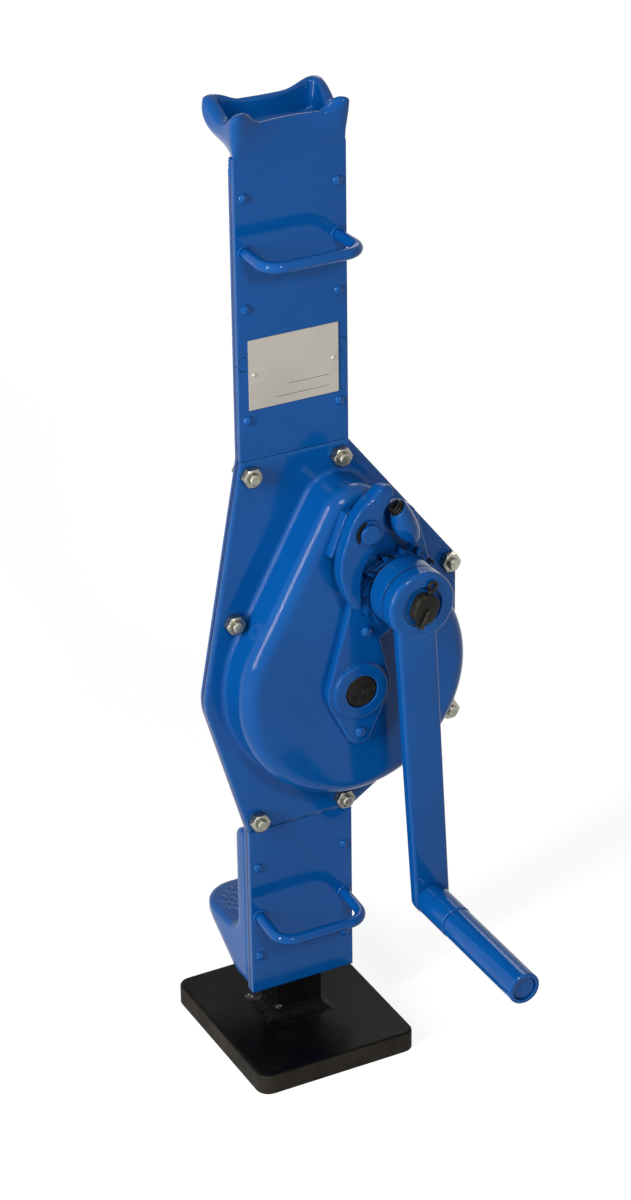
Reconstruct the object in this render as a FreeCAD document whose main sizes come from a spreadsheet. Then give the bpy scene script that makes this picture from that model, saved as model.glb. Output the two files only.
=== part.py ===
import FreeCAD, Part
import math
import operator
import os
import Sketcher

# Rack jack for about three tonnes: a steel rack stands on a square foot, and the housing climbs it.
# Frame: origin at the centre of the foot's underside, +Z up, +X to the right, the crank side is -Y.
# "Ahead" means the distance in front of the origin, along -Y. Lengths are in millimetres.

# Driving dimensions
sizes = {
    # Foot and rack
    "base_width": 128, "base_depth": 145, "base_thickness": 16, "base_corner": 10, "base_edge": 2.5,
    "rack_back": 20, "rack_depth": 25, "rack_offset": 2.2, "rack_top_drop": 34, "rack_module": 5,
    "rack_pinion_teeth": 5, "rack_pinion_shift": 0.51, "rack_addendum": 0.8, "rack_tip_extra": 1.26,
    "rack_root_gap": 0.6, "rack_backlash": 0.4, "rack_plain_foot": 205, "weld_leg": 9, "pressure_angle": 20,
    # Column: the cover's corners are measured from the gear's axis
    "sheet": 4, "rack_clearance": 0.5, "channel_clearance": 1, "column_width": 83, "column_bottom": 49,
    "plate_top": 698, "shell_top_drop": 8, "cover_rise": 175.5, "cover_drop": 118.5, "joint_gap": 0.3,
    "left_vertex_x": 74, "left_vertex_drop": 6, "left_vertex_round": 45, "right_edge_x": 127,
    "right_upper_rise": 65.5, "right_lower_drop": 62.5, "right_vertex_round": 6, "channel_bend": 5,
    "shoe_thickness": 1.7, "shoe_clearance": 0.3, "shoe_length": 70, "lower_shoe_rise": 46, "shoe_depth": 18,
    # Gears
    "gear_axis_x": 28, "gear_axis_z": 305.5, "gear_module": 2.5, "gear_teeth": 57, "crank_pinion_teeth": 9,
    "gear_shift": 0.47, "gear_dedendum": 1.25, "gear_backlash": 0.4, "gear_width": 14, "gear_gap": 11.2,
    "crank_angle": 70.5, "gear_shaft_radius": 12.2, "gear_journal_radius": 9, "running_clearance": 0.05,
    "pinion_margin": 0.5, "key_width": 6, "key_height": 6, "bush_wall": 4, "bush_flange": 4,
    "bush_flange_thickness": 3, "shaft_chamfer": 1.2, "centre_drill": 1.5,
    # Cover
    "bulge_height": 33.2, "bulge_gap": 12.6, "bulge_wall": 3.5, "bulge_edge": 11, "bulge_root": 3,
    "bulge_inner_edge": 7.5, "bulge_shift": 3, "lobe_shift": 1, "lobe_drop": 2.5, "lobe_radius": 27,
    # Bearing bracket
    "bracket_thickness": 6.5, "bracket_gear_lobe": 25, "bracket_crank_lobe": 30, "bracket_post_lobe": 20,
    "bracket_post_rise": 41.7, "bracket_foot_lobe": 10, "bracket_foot_drop": 33.5, "bracket_waist_shift": 1,
    "bracket_waist_rise": 43.5, "bracket_waist_radius": 14, "bracket_edge": 1.5, "boss_height": 3,
    "boss_radius": 21.5, "boss_edge": 2, "boss_bore_gap": 0.3, "shaft_recess": 0.6,
    "bracket_rivet_radius": 4.2, "bracket_rivet_head": 3, "bracket_rivet_shift": 4.5, "bracket_rivet_rise": 2,
    # Fasteners
    "rivet_radius": 3, "rivet_head_radius": 3.8, "rivet_head": 2.6, "rivet_x": 35, "rivet_top_drop": 27.5,
    "rivet_upper_drop": 106, "rivet_middle_rise": 30, "rivet_lower_drop": 31.4, "rivet_bottom_rise": 30.7,
    "bolt_radius": 4, "bolt_hole_clearance": 0.4, "nut_flats": 13, "nut_height": 6.5, "nut_face_radius": 6.1,
    "nut_chamfer_angle": 30, "bolt_head": 5.3, "bolt_end": 3.2, "bolt_chamfer": 0.8, "bolt_x": 34.5,
    "bolt_upper_margin": 11, "bolt_lower_margin": 9, "bolt_left_inset": 24, "bolt_left_rise": 61,
    "bolt_right_inset": 6, "bolt_right_margin": 4,
    # Name plate
    "name_plate_width": 68, "name_plate_height": 51, "name_plate_thickness": 0.8, "name_plate_rise": 63,
    "name_rivet_x": 30, "name_rivet_radius": 1.7, "name_rivet_head": 1.2,
    "plug_radius": 5, "plug_x": 36, "plug_rise": 8.5, "plug_gap": 0.4,
    # Handles
    "handle_rod": 8, "handle_reach": 35, "handle_half_width": 34.7, "handle_bend": 13,
    "upper_handle_drop": 64.6, "upper_handle_tilt": 6.4, "lower_handle_rise": 65, "lower_handle_tilt": 5,
    # Head: heights are measured from the top of the front plate
    "head_height": 32, "head_width": 90, "head_depth": 70, "head_wall": 6, "head_dish_depth": 21,
    "head_belly_height": 12, "head_belly_width": 86, "head_belly_depth": 44, "head_neck_width": 52,
    "head_corner": 6, "head_dish_corner": 4, "head_seat_round": 4, "head_side_bow": 2.5, "head_rim_drop": 10,
    "head_front_flat": 21, "head_side_flat": 6, "head_scoop_radius": 14, "head_floor_inset": 4,
    # Claw: heights are measured from the bottom of the column
    "claw_bottom_rise": 5, "claw_cheek_rise": 133.5, "claw_cheek_back": 8.4, "claw_toe_rise": 39,
    "claw_heel_back": 13, "claw_knee_back": 54, "claw_knee_drop": 8, "claw_tip_thickness": 6.5,
    "claw_reach": 77.5, "claw_corner": 27, "claw_inner_fillet": 18, "claw_cheek_round": 9, "claw_fit": 0.2,
    "claw_edge": 2.5, "claw_heel_round": 12,
    # Crank
    "crank_shaft_radius": 10.8, "crank_journal_radius": 7, "shaft_end_reach": 6, "stack_gap": 0.4,
    "friction_ring_thickness": 1.5, "friction_ring_radius": 23.5, "ratchet_thickness": 7, "ratchet_tip": 30.5,
    "ratchet_root": 25.5, "ratchet_teeth": 12, "ratchet_face_angle": 178, "disc_thickness": 18,
    "disc_radius": 25.3, "disc_edge": 1, "hub_thickness": 12.5, "hub_edge": 3.2, "hub_recess_radius": 15,
    "hub_recess_depth": 4, "arm_radius": 240, "arm_lean": 2.1, "arm_thickness": 10, "arm_setback": 1.2,
    "arm_edge": 2.4, "arm_hub_half_width": 15, "arm_grip_half_width": 13.8,
    "collar_radius": 12.4, "collar_length": 36, "sleeve_radius": 12, "sleeve_length": 93.4,
    "spindle_radius": 7, "grip_edge": 1, "sleeve_end_gap": 0.4, "sleeve_recess_radius": 9,
    "sleeve_recess_depth": 4, "end_washer_radius": 8.3, "end_washer_thickness": 2,
    "split_pin_radius": 1.6, "split_pin_hole": 1.8,
    "split_pin_angle": 66, "split_pin_upper": 13.5, "split_pin_lower": 14, "split_pin_eye": 3,
    "split_pin_eye_wire": 1.1, "split_pin_leg": 1.3, "split_pin_bridge": 1.4, "split_pin_knee": 1.5,
    "split_pin_leg_lift": 0.2,
    # Pawl: its corners are measured from its pivot, and the pivot from the crank's axis
    "pawl_pivot_left": 26.5, "pawl_pivot_rise": 50.2, "pawl_thickness": 11, "pawl_pin_radius": 7.3,
    "pawl_pin_groove": 6.3, "pawl_pin_end": 2.6, "pawl_pin_edge": 0.6, "pawl_clip_radius": 10,
    "pawl_clip_thickness": 1.2, "pawl_clip_slot": 9, "pawl_boss_radius": 11, "pawl_side_gap": 0.2,
    "pawl_engage_angle": 5.8, "pawl_tooth_depth_gap": 0.7, "pawl_face_gap": 1.5,
    "pawl_knob_x": 1, "pawl_knob_z": 34.5, "pawl_head_x": 14, "pawl_head_z": 36.5, "pawl_nose_x": 21,
    "pawl_nose_z": 23.5, "pawl_shoulder_x": 12, "pawl_shoulder_z": 13, "pawl_hip_x": 11.5, "pawl_hip_z": -4,
    "pawl_inner_x": 2.5, "pawl_inner_z": -22, "pawl_neck_x": -6, "pawl_neck_z": -36, "pawl_toe_x": -14,
    "pawl_toe_z": -54, "pawl_heel_x": -23.5, "pawl_heel_z": -43, "pawl_back_x": -24.5, "pawl_back_z": -25,
    "pawl_flank_x": -18.5, "pawl_flank_z": -3, "pawl_crown_x": -9, "pawl_crown_z": 18, "pawl_round": 4,
    "pawl_head_round": 7, "pawl_nose_round": 2, "pawl_edge": 1.2,
    "rest_block_height": 8.2, "rest_block_upper_x": -7.5, "rest_block_upper_z": 12.5,
    "rest_block_lower_x": -20, "rest_block_lower_z": -18, "rest_block_width": 8, "rest_block_edge": 1,
    # Spring post: three sections, measured from the pawl's pivot, and the bore for the spring
    "post_ahead_of_ratchet": 1.3, "post_end_x": 23.4, "post_end_z": 12.5, "post_end_radius": 7,
    "post_end_lean": 42, "post_middle_x": 29.5, "post_middle_z": -2, "post_middle_radius": 8.8,
    "post_middle_lean": 26, "post_tail_x": 36.5, "post_tail_z": -14, "post_tail_radius": 4.5,
    "post_tail_lean": 34, "post_foot_radius": 6, "post_bore_radius": 5.8, "post_bore_depth": 8,
    "spring_radius": 4.3, "spring_wire": 0.75, "spring_turns": 5, "spring_length": 13.4,
    "spring_seat_gap": 0.2,
}

doc = FreeCAD.newDocument("RackJack")
sheet = doc.addObject("Spreadsheet::Sheet", "Sizes")
for row, (alias, number) in enumerate(sizes.items(), start=1):
    sheet.set("A%d" % row, alias)
    sheet.set("B%d" % row, str(number))
    sheet.setAlias("B%d" % row, alias)
doc.recompute()

pieces = {}
signs = {"+": operator.add, "-": operator.sub, "*": operator.mul, "/": operator.truediv}
front_turn = FreeCAD.Rotation(FreeCAD.Vector(1, 0, 0), 90)


class Size:
    """A length with its number and the sheet formula that gives it, so that sums stay tied to the sheet."""

    def __init__(self, value, formula):
        self.value = value
        self.formula = formula

    def __add__(self, other):
        return joined(self, "+", other)

    def __radd__(self, other):
        return joined(other, "+", self)

    def __sub__(self, other):
        return joined(self, "-", other)

    def __rsub__(self, other):
        return joined(other, "-", self)

    def __mul__(self, other):
        return joined(self, "*", other)

    def __rmul__(self, other):
        return joined(other, "*", self)

    def __truediv__(self, other):
        return joined(self, "/", other)

    def __rtruediv__(self, other):
        return joined(other, "/", self)

    def __neg__(self):
        return joined(0, "-", self)


class Sheet:
    """Reads a driving dimension by its alias."""

    def __getattr__(self, alias):
        return Size(float(sizes[alias]), "Sizes." + alias)


def as_size(amount):
    return amount if isinstance(amount, Size) else Size(float(amount), repr(float(amount)))


def joined(left, sign, right):
    left = as_size(left)
    right = as_size(right)
    return Size(signs[sign](left.value, right.value), "(%s %s %s)" % (left.formula, sign, right.formula))


def sine(angle):
    angle = as_size(angle)
    return Size(math.sin(math.radians(angle.value)), "sin(%s)" % angle.formula)


def cosine(angle):
    angle = as_size(angle)
    return Size(math.cos(math.radians(angle.value)), "cos(%s)" % angle.formula)


def arc_sine(ratio):
    ratio = as_size(ratio)
    return Size(math.degrees(math.asin(ratio.value)), "asin(%s)" % ratio.formula)


def bind(thing, name, amount):
    thing.setExpression(name, as_size(amount).formula)


def place(thing, across, ahead, up):
    bind(thing, "Placement.Base.x", across)
    bind(thing, "Placement.Base.y", -as_size(ahead))
    bind(thing, "Placement.Base.z", up)


s = Sheet()

# Planes that the sheets, the rack and the gears share, as distances ahead of the origin
rack_front = s.rack_depth / 2 - s.rack_offset
rack_rear = rack_front - s.rack_depth
plate_back = rack_front + s.rack_clearance
plate_front = plate_back + s.sheet
flange_back = plate_back - s.sheet
channel_inner = rack_rear - s.channel_clearance
channel_outer = channel_inner - s.sheet
bulge_face = plate_front + s.bulge_height
bulge_inner = bulge_face - s.bulge_wall
bracket_face = bulge_face + s.bracket_thickness
boss_face = bracket_face + s.boss_height
gear_back = plate_back + s.gear_gap
gear_front = gear_back + s.gear_width

# Heights of the sheets
shell_top = s.plate_top - s.shell_top_drop
rack_top = s.plate_top - s.rack_top_drop
cover_top = s.gear_axis_z + s.cover_rise
cover_bottom = s.gear_axis_z - s.cover_drop
left_vertex_z = s.gear_axis_z - s.left_vertex_drop
right_upper_z = s.gear_axis_z + s.right_upper_rise
right_lower_z = s.gear_axis_z - s.right_lower_drop
name_plate_z = cover_top + s.name_plate_rise
plug_z = name_plate_z + s.plug_rise

# Gear geometry
centre_distance = s.gear_module * (s.gear_teeth + s.crank_pinion_teeth) / 2
crank_x = s.gear_axis_x + centre_distance * cosine(s.crank_angle)
crank_z = s.gear_axis_z + centre_distance * sine(s.crank_angle)
gear_tip = s.gear_module * (s.gear_teeth / 2 + 1 - s.gear_shift)
rack_pinion_pitch = s.rack_module * s.rack_pinion_teeth / 2
rack_pinion_tip = rack_pinion_pitch + s.rack_tip_extra * s.rack_module
rack_line = s.gear_axis_x - rack_pinion_pitch - s.rack_pinion_shift * s.rack_module
rack_tip_x = rack_line + s.rack_addendum * s.rack_module
rack_root_x = s.gear_axis_x - rack_pinion_tip - s.rack_root_gap
rack_pitch = s.rack_module * math.pi
bulge_radius = gear_tip + s.bulge_gap + s.bulge_wall

# Column widths
half_column = s.column_width / 2
channel_left = s.rack_back + s.shoe_clearance + s.shoe_thickness
channel_half = channel_left + s.sheet
pocket_right = s.gear_axis_x + rack_pinion_tip + s.channel_clearance
pocket_half_height = rack_pinion_tip + s.channel_clearance

# Crank stack, from the bracket's face to the hub's front
ring_start = bracket_face + s.stack_gap
ratchet_start = ring_start + s.friction_ring_thickness
ratchet_end = ratchet_start + s.ratchet_thickness
disc_start = ratchet_end + s.friction_ring_thickness
hub_start = disc_start + s.disc_thickness
hub_end = hub_start + s.hub_thickness
shaft_end = hub_end + s.shaft_end_reach
pin_ahead = hub_end + s.split_pin_hole
arm_front = hub_end - s.arm_setback
arm_back = arm_front - s.arm_thickness
grip_x = crank_x + s.arm_radius * sine(s.arm_lean)
grip_z = crank_z - s.arm_radius * cosine(s.arm_lean)
collar_end = arm_front + s.collar_length
sleeve_start = collar_end + s.sleeve_end_gap
sleeve_end = sleeve_start + s.sleeve_length
spindle_end = sleeve_end - s.sleeve_recess_depth + s.sleeve_end_gap

# Pawl and its spring
pivot_x = crank_x - s.pawl_pivot_left
pivot_z = crank_z + s.pawl_pivot_rise
pawl_back = ratchet_start
pawl_front = pawl_back + s.pawl_thickness
clip_front = pawl_front + s.pawl_side_gap + s.pawl_clip_thickness
pin_end = clip_front + s.pawl_pin_end
post_ahead = ratchet_end + s.post_ahead_of_ratchet


# Solids

def cylinder(name, across, start, end, up, radius):
    """Round bar along the front axis, from one distance ahead to another."""
    bar = doc.addObject("Part::Cylinder", name)
    bar.Placement.Rotation = front_turn
    place(bar, across, start, up)
    bind(bar, "Radius", radius)
    bind(bar, "Height", as_size(end) - start)
    return bar


def cone(name, across, start, end, up, start_radius, end_radius):
    bar = doc.addObject("Part::Cone", name)
    bar.Placement.Rotation = front_turn
    place(bar, across, start, up)
    bind(bar, "Radius1", start_radius)
    bind(bar, "Radius2", end_radius)
    bind(bar, "Height", as_size(end) - start)
    return bar


def dome(name, across, start, up, radius, height):
    """Round rivet head: the cap of a sphere on a flat face."""
    ball = (radius * radius + height * height) / (2 * height)
    cap = doc.addObject("Part::Sphere", name)
    cap.Placement.Rotation = front_turn
    place(cap, across, start - ball + height, up)
    bind(cap, "Radius", ball)
    bind(cap, "Angle1", arc_sine((ball - height) / ball))
    return cap


def block(name, left, right, rear, front, bottom, top):
    """Box between two values across, two distances ahead and two heights."""
    solid = doc.addObject("Part::Box", name)
    place(solid, left, front, bottom)
    bind(solid, "Length", as_size(right) - left)
    bind(solid, "Width", as_size(front) - rear)
    bind(solid, "Height", as_size(top) - bottom)
    return solid


def fuse(name, *solids):
    union = doc.addObject("Part::MultiFuse", name)
    union.Shapes = list(solids)
    union.Refine = True
    return union


def cut(name, base, *tools):
    result = doc.addObject("Part::Cut", name)
    result.Base = base
    result.Tool = tools[0] if len(tools) == 1 else fuse(name + "_tools", *tools)
    return result


def group(name, solids):
    """Separate equal solids that share one node."""
    compound = doc.addObject("Part::Compound", name)
    compound.Links = list(solids)
    return compound


def piece(name, thing):
    thing.Label = name
    pieces[name] = thing
    return thing


# Sketches and features

def new_body(name):
    return doc.addObject("PartDesign::Body", name)


def new_sketch(body, name, role, offset):
    """Sketch on one of the body's own planes, moved along that plane's normal."""
    plane = next(feature for feature in body.Origin.OriginFeatures if feature.Role == role)
    sketch = body.newObject("Sketcher::SketchObject", name)
    sketch.AttachmentSupport = [(plane, "")]
    sketch.MapMode = "FlatFace"
    bind(sketch, "AttachmentOffset.Base.z", offset)
    return sketch


def drive(sketch, constraint, amount):
    index = sketch.addConstraint(constraint)
    sketch.setExpression("Constraints[%d]" % index, as_size(amount).formula)


def pin_point(sketch, geometry, point, across, up):
    across = as_size(across)
    up = as_size(up)
    drive(sketch, Sketcher.Constraint("DistanceX", -1, 1, geometry, point, across.value), across)
    drive(sketch, Sketcher.Constraint("DistanceY", -1, 1, geometry, point, up.value), up)


def vector(point):
    return FreeCAD.Vector(as_size(point[0]).value, as_size(point[1]).value, 0)


def polygon(sketch, corners):
    """Closed outline of straight lines, every corner tied to the sheet."""
    first = len(sketch.Geometry)
    count = len(corners)
    for index, corner in enumerate(corners):
        sketch.addGeometry(Part.LineSegment(vector(corner), vector(corners[(index + 1) % count])), False)
    for index, corner in enumerate(corners):
        following = first + (index + 1) % count
        sketch.addConstraint(Sketcher.Constraint("Coincident", first + index, 2, following, 1))
        pin_point(sketch, first + index, 1, *corner)


def meeting(first, second, near_point):
    """Of the two points where two circles (centre, radius) cross, the one near a given point."""
    step = second[0] - first[0]
    along_step = (first[1] ** 2 - second[1] ** 2 + step.Length ** 2) / (2 * step.Length)
    height = math.sqrt(first[1] ** 2 - along_step ** 2)
    way = step / step.Length
    side = FreeCAD.Vector(-way.y, way.x, 0)
    spots = [first[0] + way * along_step + side * height * sign for sign in (-1, 1)]
    return min(spots, key=lambda spot: (spot - near_point).Length)


def cushion(sketch, half_width, middle, half_depth, front_bow, side_bow, corner):
    """Four-sided outline about a middle line: its sides bow inwards and its corners are round."""
    front_radius = (half_width * half_width + front_bow * front_bow) / (2 * front_bow)
    side_radius = (half_depth * half_depth + side_bow * side_bow) / (2 * side_bow)
    away = half_depth - front_bow + front_radius
    aside = half_width - side_bow + side_radius
    centres = [(0, middle - away), (aside, middle), (0, middle + away), (-aside, middle)]
    radii = [front_radius, side_radius, front_radius, side_radius]
    spots = [(half_width, middle - half_depth), (half_width, middle + half_depth),
             (-half_width, middle + half_depth), (-half_width, middle - half_depth)]
    count = len(centres)
    rounds = []
    for index, spot in enumerate(spots):
        pair = [(vector(centres[side % count]), radii[side % count].value + corner.value)
                for side in (index, index + 1)]
        rounds.append(meeting(*pair, vector(spot)))

    def angle(centre, target):
        return math.atan2(target.y - centre.y, target.x - centre.x)

    def arc(centre, radius, start, end):
        while end < start:
            end += 2 * math.pi
        full = Part.Circle(centre, FreeCAD.Vector(0, 0, 1), radius.value)
        sketch.addGeometry(Part.ArcOfCircle(full, start, end), False)

    # A side that bows inwards runs anticlockwise about its own far centre, so it starts at the next corner.
    for index, centre in enumerate(map(vector, centres)):
        arc(centre, radii[index], angle(centre, rounds[index]), angle(centre, rounds[index - 1]))
    for index, centre in enumerate(rounds):
        arc(centre, corner, angle(centre, vector(centres[index])),
            angle(centre, vector(centres[(index + 1) % count])))
    for index, centre in enumerate(centres):
        pin_point(sketch, index, 3, *centre)
        drive(sketch, Sketcher.Constraint("Radius", index, radii[index].value), radii[index])
        drive(sketch, Sketcher.Constraint("Radius", count + index, corner.value), corner)
        sketch.addConstraint(Sketcher.Constraint("Tangent", index, 1, count + index, 1))
        sketch.addConstraint(Sketcher.Constraint("Tangent", count + index, 2, (index + 1) % count, 2))


def rectangle(sketch, left, right, bottom, top):
    polygon(sketch, [(left, bottom), (right, bottom), (right, top), (left, top)])


def circle(sketch, across, up, radius):
    radius = as_size(radius)
    axis = FreeCAD.Vector(0, 0, 1)
    geometry = sketch.addGeometry(Part.Circle(vector((across, up)), axis, radius.value), False)
    pin_point(sketch, geometry, 3, across, up)
    drive(sketch, Sketcher.Constraint("Radius", geometry, radius.value), radius)


def belt(sketch, rounds):
    """Outline stretched round circles, given anticlockwise as (across, up, radius)."""
    first = len(sketch.Geometry)
    count = len(rounds)
    tangents = []
    for index, this in enumerate(rounds):
        after = rounds[(index + 1) % count]
        step = vector(after) - vector(this)
        lean = math.asin((as_size(this[2]).value - as_size(after[2]).value) / step.Length)
        tangents.append(math.atan2(step.y, step.x) - math.pi / 2 + lean)
    for index, this in enumerate(rounds):
        start = tangents[index - 1]
        end = tangents[index]
        while end < start:
            end += 2 * math.pi
        full = Part.Circle(vector(this), FreeCAD.Vector(0, 0, 1), as_size(this[2]).value)
        sketch.addGeometry(Part.ArcOfCircle(full, start, end), False)
    for index, this in enumerate(rounds):
        after = rounds[(index + 1) % count]
        way = FreeCAD.Vector(math.cos(tangents[index]), math.sin(tangents[index]), 0)
        ends = [vector(spot) + way * as_size(spot[2]).value for spot in (this, after)]
        sketch.addGeometry(Part.LineSegment(*ends), False)
    for index, this in enumerate(rounds):
        arc = first + index
        line = first + count + index
        following = first + (index + 1) % count
        pin_point(sketch, arc, 3, this[0], this[1])
        drive(sketch, Sketcher.Constraint("Radius", arc, as_size(this[2]).value), this[2])
        sketch.addConstraint(Sketcher.Constraint("Tangent", arc, 2, line, 1))
        sketch.addConstraint(Sketcher.Constraint("Tangent", line, 2, following, 1))


def pad(body, sketch, length, backwards=False):
    feature = body.newObject("PartDesign::Pad", sketch.Name + "_pad")
    feature.Profile = sketch
    bind(feature, "Length", length)
    feature.Reversed = backwards
    return feature


def pocket(body, sketch, depth, backwards=False):
    """Cut that goes against the sketch's normal, or along it when backwards."""
    before = body.Shape.Volume
    feature = body.newObject("PartDesign::Pocket", sketch.Name + "_pocket")
    feature.Profile = sketch
    bind(feature, "Length", depth)
    feature.Reversed = backwards
    doc.recompute()
    if not body.Shape.Volume < before:
        raise ValueError(sketch.Name + " cuts nothing")
    return feature


def loft(body, name, first, others, cutting=False):
    feature = body.newObject("PartDesign::SubtractiveLoft" if cutting else "PartDesign::AdditiveLoft", name)
    feature.Profile = first
    feature.Sections = others
    return feature


def round_edges(body, name, radius, chosen):
    """Fillet on the edges of the body that the test picks."""
    doc.recompute()
    base = body.Tip
    names = ["Edge%d" % (index + 1) for index, edge in enumerate(base.Shape.Edges) if chosen(edge)]
    fillet = body.newObject("PartDesign::Fillet", name)
    fillet.Base = (base, names)
    bind(fillet, "Radius", radius)
    return fillet


def turned(name, across, up, profile):
    """Lathe part about a front axis; the profile is a list of (radius, distance ahead)."""
    body = new_body(name + "_turned")
    sketch = new_sketch(body, name + "_profile", "XY_Plane", up)
    bind(sketch, "AttachmentOffset.Base.x", across)
    polygon(sketch, [(radius, -as_size(ahead)) for radius, ahead in profile])
    spin = body.newObject("PartDesign::Revolution", name + "_spin")
    spin.Profile = sketch
    spin.ReferenceAxis = (sketch, ["V_Axis"])
    spin.Angle = 360
    return body


tolerance = 0.01


def near(value, amount):
    return abs(value - as_size(amount).value) < tolerance


def rim(ahead, radius):
    """Test for the round edge of a given radius at a distance ahead."""
    def test(edge):
        box = edge.BoundBox
        return near(box.YMax, -as_size(ahead)) and near(box.YMin, -as_size(ahead)) \
            and near(box.ZLength / 2, radius)
    return test


def on_face(ahead):
    """Test for all edges in a plane at a distance ahead."""
    def test(edge):
        return near(edge.BoundBox.YMax, -as_size(ahead)) and near(edge.BoundBox.YMin, -as_size(ahead))
    return test


def level(height):
    """Test for all edges at one height."""
    def test(edge):
        return near(edge.BoundBox.ZMin, height) and near(edge.BoundBox.ZMax, height)
    return test


def along(axis):
    """Test for straight edges that run along an axis."""
    def test(edge):
        if edge.Curve.TypeId != "Part::GeomLine":
            return False
        return near(abs(edge.tangentAt(edge.FirstParameter).dot(axis)), 1)
    return test


x_axis = FreeCAD.Vector(1, 0, 0)
y_axis = FreeCAD.Vector(0, 1, 0)
z_axis = FreeCAD.Vector(0, 0, 1)


# Foot and rack

def make_base_plate():
    body = new_body("base_plate")
    sketch = new_sketch(body, "base_outline", "XY_Plane", 0)
    rectangle(sketch, -s.base_width / 2, s.base_width / 2, -s.base_depth / 2, s.base_depth / 2)
    pad(body, sketch, s.base_thickness)
    round_edges(body, "base_corners", s.base_corner, along(z_axis))
    round_edges(body, "base_top_edge", s.base_edge, lambda edge: near(edge.BoundBox.ZMin, s.base_thickness))
    piece("base_plate", body)


def make_rack():
    """Bar with a row of milled tooth spaces, one of them level with the pinion."""
    body = new_body("rack")
    bar = new_sketch(body, "rack_bar", "XZ_Plane", rack_rear)
    rectangle(bar, -s.rack_back, rack_tip_x, s.base_thickness, rack_top)
    pad(body, bar, s.rack_depth)
    doc.recompute()
    count_below = math.floor((s.gear_axis_z - s.rack_plain_foot).value / rack_pitch.value)
    count_above = math.floor((rack_top - s.gear_axis_z).value / rack_pitch.value)
    first_z = s.gear_axis_z - rack_pitch * count_below
    slope = math.tan(math.radians(sizes["pressure_angle"]))
    at_line = rack_pitch / 4 + s.rack_backlash / 2
    mouth = at_line + (rack_tip_x - rack_line) * slope
    floor = at_line - (rack_line - rack_root_x) * slope
    space = new_sketch(body, "tooth_space", "XZ_Plane", rack_front)
    polygon(space, [(rack_root_x, first_z - floor), (rack_tip_x, first_z - mouth),
                    (rack_tip_x, first_z + mouth), (rack_root_x, first_z + floor)])
    gap = pocket(body, space, s.rack_depth)
    row = body.newObject("PartDesign::LinearPattern", "rack_teeth")
    row.Originals = [gap]
    row.Direction = (space, ["V_Axis"])
    row.Occurrences = count_below + count_above + 1
    bind(row, "Length", rack_pitch * (count_below + count_above))
    body.Tip = row
    piece("rack", body)


def make_foot_weld():
    """Fillet weld round the rack's foot: a frustum with the bar's section taken out."""
    bead = doc.addObject("Part::Wedge", "weld_bead")
    lower = {"Xmin": -s.rack_back - s.weld_leg, "Xmax": rack_tip_x + s.weld_leg,
             "Zmin": rack_rear - s.weld_leg, "Zmax": rack_front + s.weld_leg}
    upper = {"X2min": -s.rack_back, "X2max": rack_tip_x, "Z2min": rack_rear, "Z2max": rack_front}
    for name, amount in {**lower, **upper, "Ymin": 0, "Ymax": s.weld_leg}.items():
        bind(bead, name, amount)
    bead.Placement.Rotation = FreeCAD.Rotation(x_axis, 90)
    bind(bead, "Placement.Base.z", s.base_thickness)
    bar = block("weld_bar", -s.rack_back, rack_tip_x, rack_rear, rack_front, 0, rack_top)
    piece("foot_weld", cut("foot_weld_ring", bead, bar))


# Column sheets

def rivet_heights(bottom, top):
    rows = (s.plate_top - s.rivet_top_drop, s.plate_top - s.rivet_upper_drop, cover_top + s.rivet_middle_rise,
            cover_bottom - s.rivet_lower_drop, s.column_bottom + s.rivet_bottom_rise)
    return [row for row in rows if bottom.value < row.value < top.value]


def make_front_plate(name, bottom, top):
    body = new_body(name)
    sketch = new_sketch(body, name + "_outline", "XZ_Plane", plate_back)
    rectangle(sketch, -half_column, half_column, bottom, top)
    for side in (-1, 1):
        for height in rivet_heights(bottom, top):
            circle(sketch, side * s.rivet_x, height, s.rivet_radius)
    if bottom.value < plug_z.value < top.value:
        for side in (-1, 1):
            circle(sketch, side * s.plug_x, plug_z, s.plug_radius + s.plug_gap)
    pad(body, sketch, s.sheet)
    piece(name, body)


def hexagon_corners(bottom, top):
    return [(-half_column, bottom), (half_column, bottom), (s.right_edge_x, right_lower_z),
            (s.right_edge_x, right_upper_z), (half_column, top), (-half_column, top),
            (-s.left_vertex_x, left_vertex_z)]


def bolt_places():
    upper = cover_top - s.bolt_upper_margin
    lower = cover_bottom + s.bolt_lower_margin
    right = s.right_edge_x - s.bolt_right_inset
    return [(-s.bolt_x, upper), (s.bolt_x, upper),
            (s.bolt_left_inset - s.left_vertex_x, left_vertex_z + s.bolt_left_rise),
            (right, right_upper_z - s.bolt_right_margin), (right, right_lower_z + s.bolt_right_margin),
            (-s.bolt_x, lower), (s.bolt_x, lower)]


def edge_at(across, up):
    """Test for edges along the front axis that stand at one corner of an outline."""
    def test(edge):
        centre = edge.BoundBox.Center
        return along(y_axis)(edge) and near(centre.x, across) and near(centre.z, up)
    return test


def round_hexagon(body, name):
    round_edges(body, name + "_left", s.left_vertex_round, edge_at(-s.left_vertex_x, left_vertex_z))
    for label, height in (("upper", right_upper_z), ("lower", right_lower_z)):
        round_edges(body, name + "_" + label, s.right_vertex_round, edge_at(s.right_edge_x, height))


def bulge_rounds(inset):
    lobe = (pivot_x + s.lobe_shift, pivot_z - s.lobe_drop, s.lobe_radius - inset)
    return [(s.gear_axis_x + s.bulge_shift, s.gear_axis_z, bulge_radius - inset), lobe]


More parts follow.
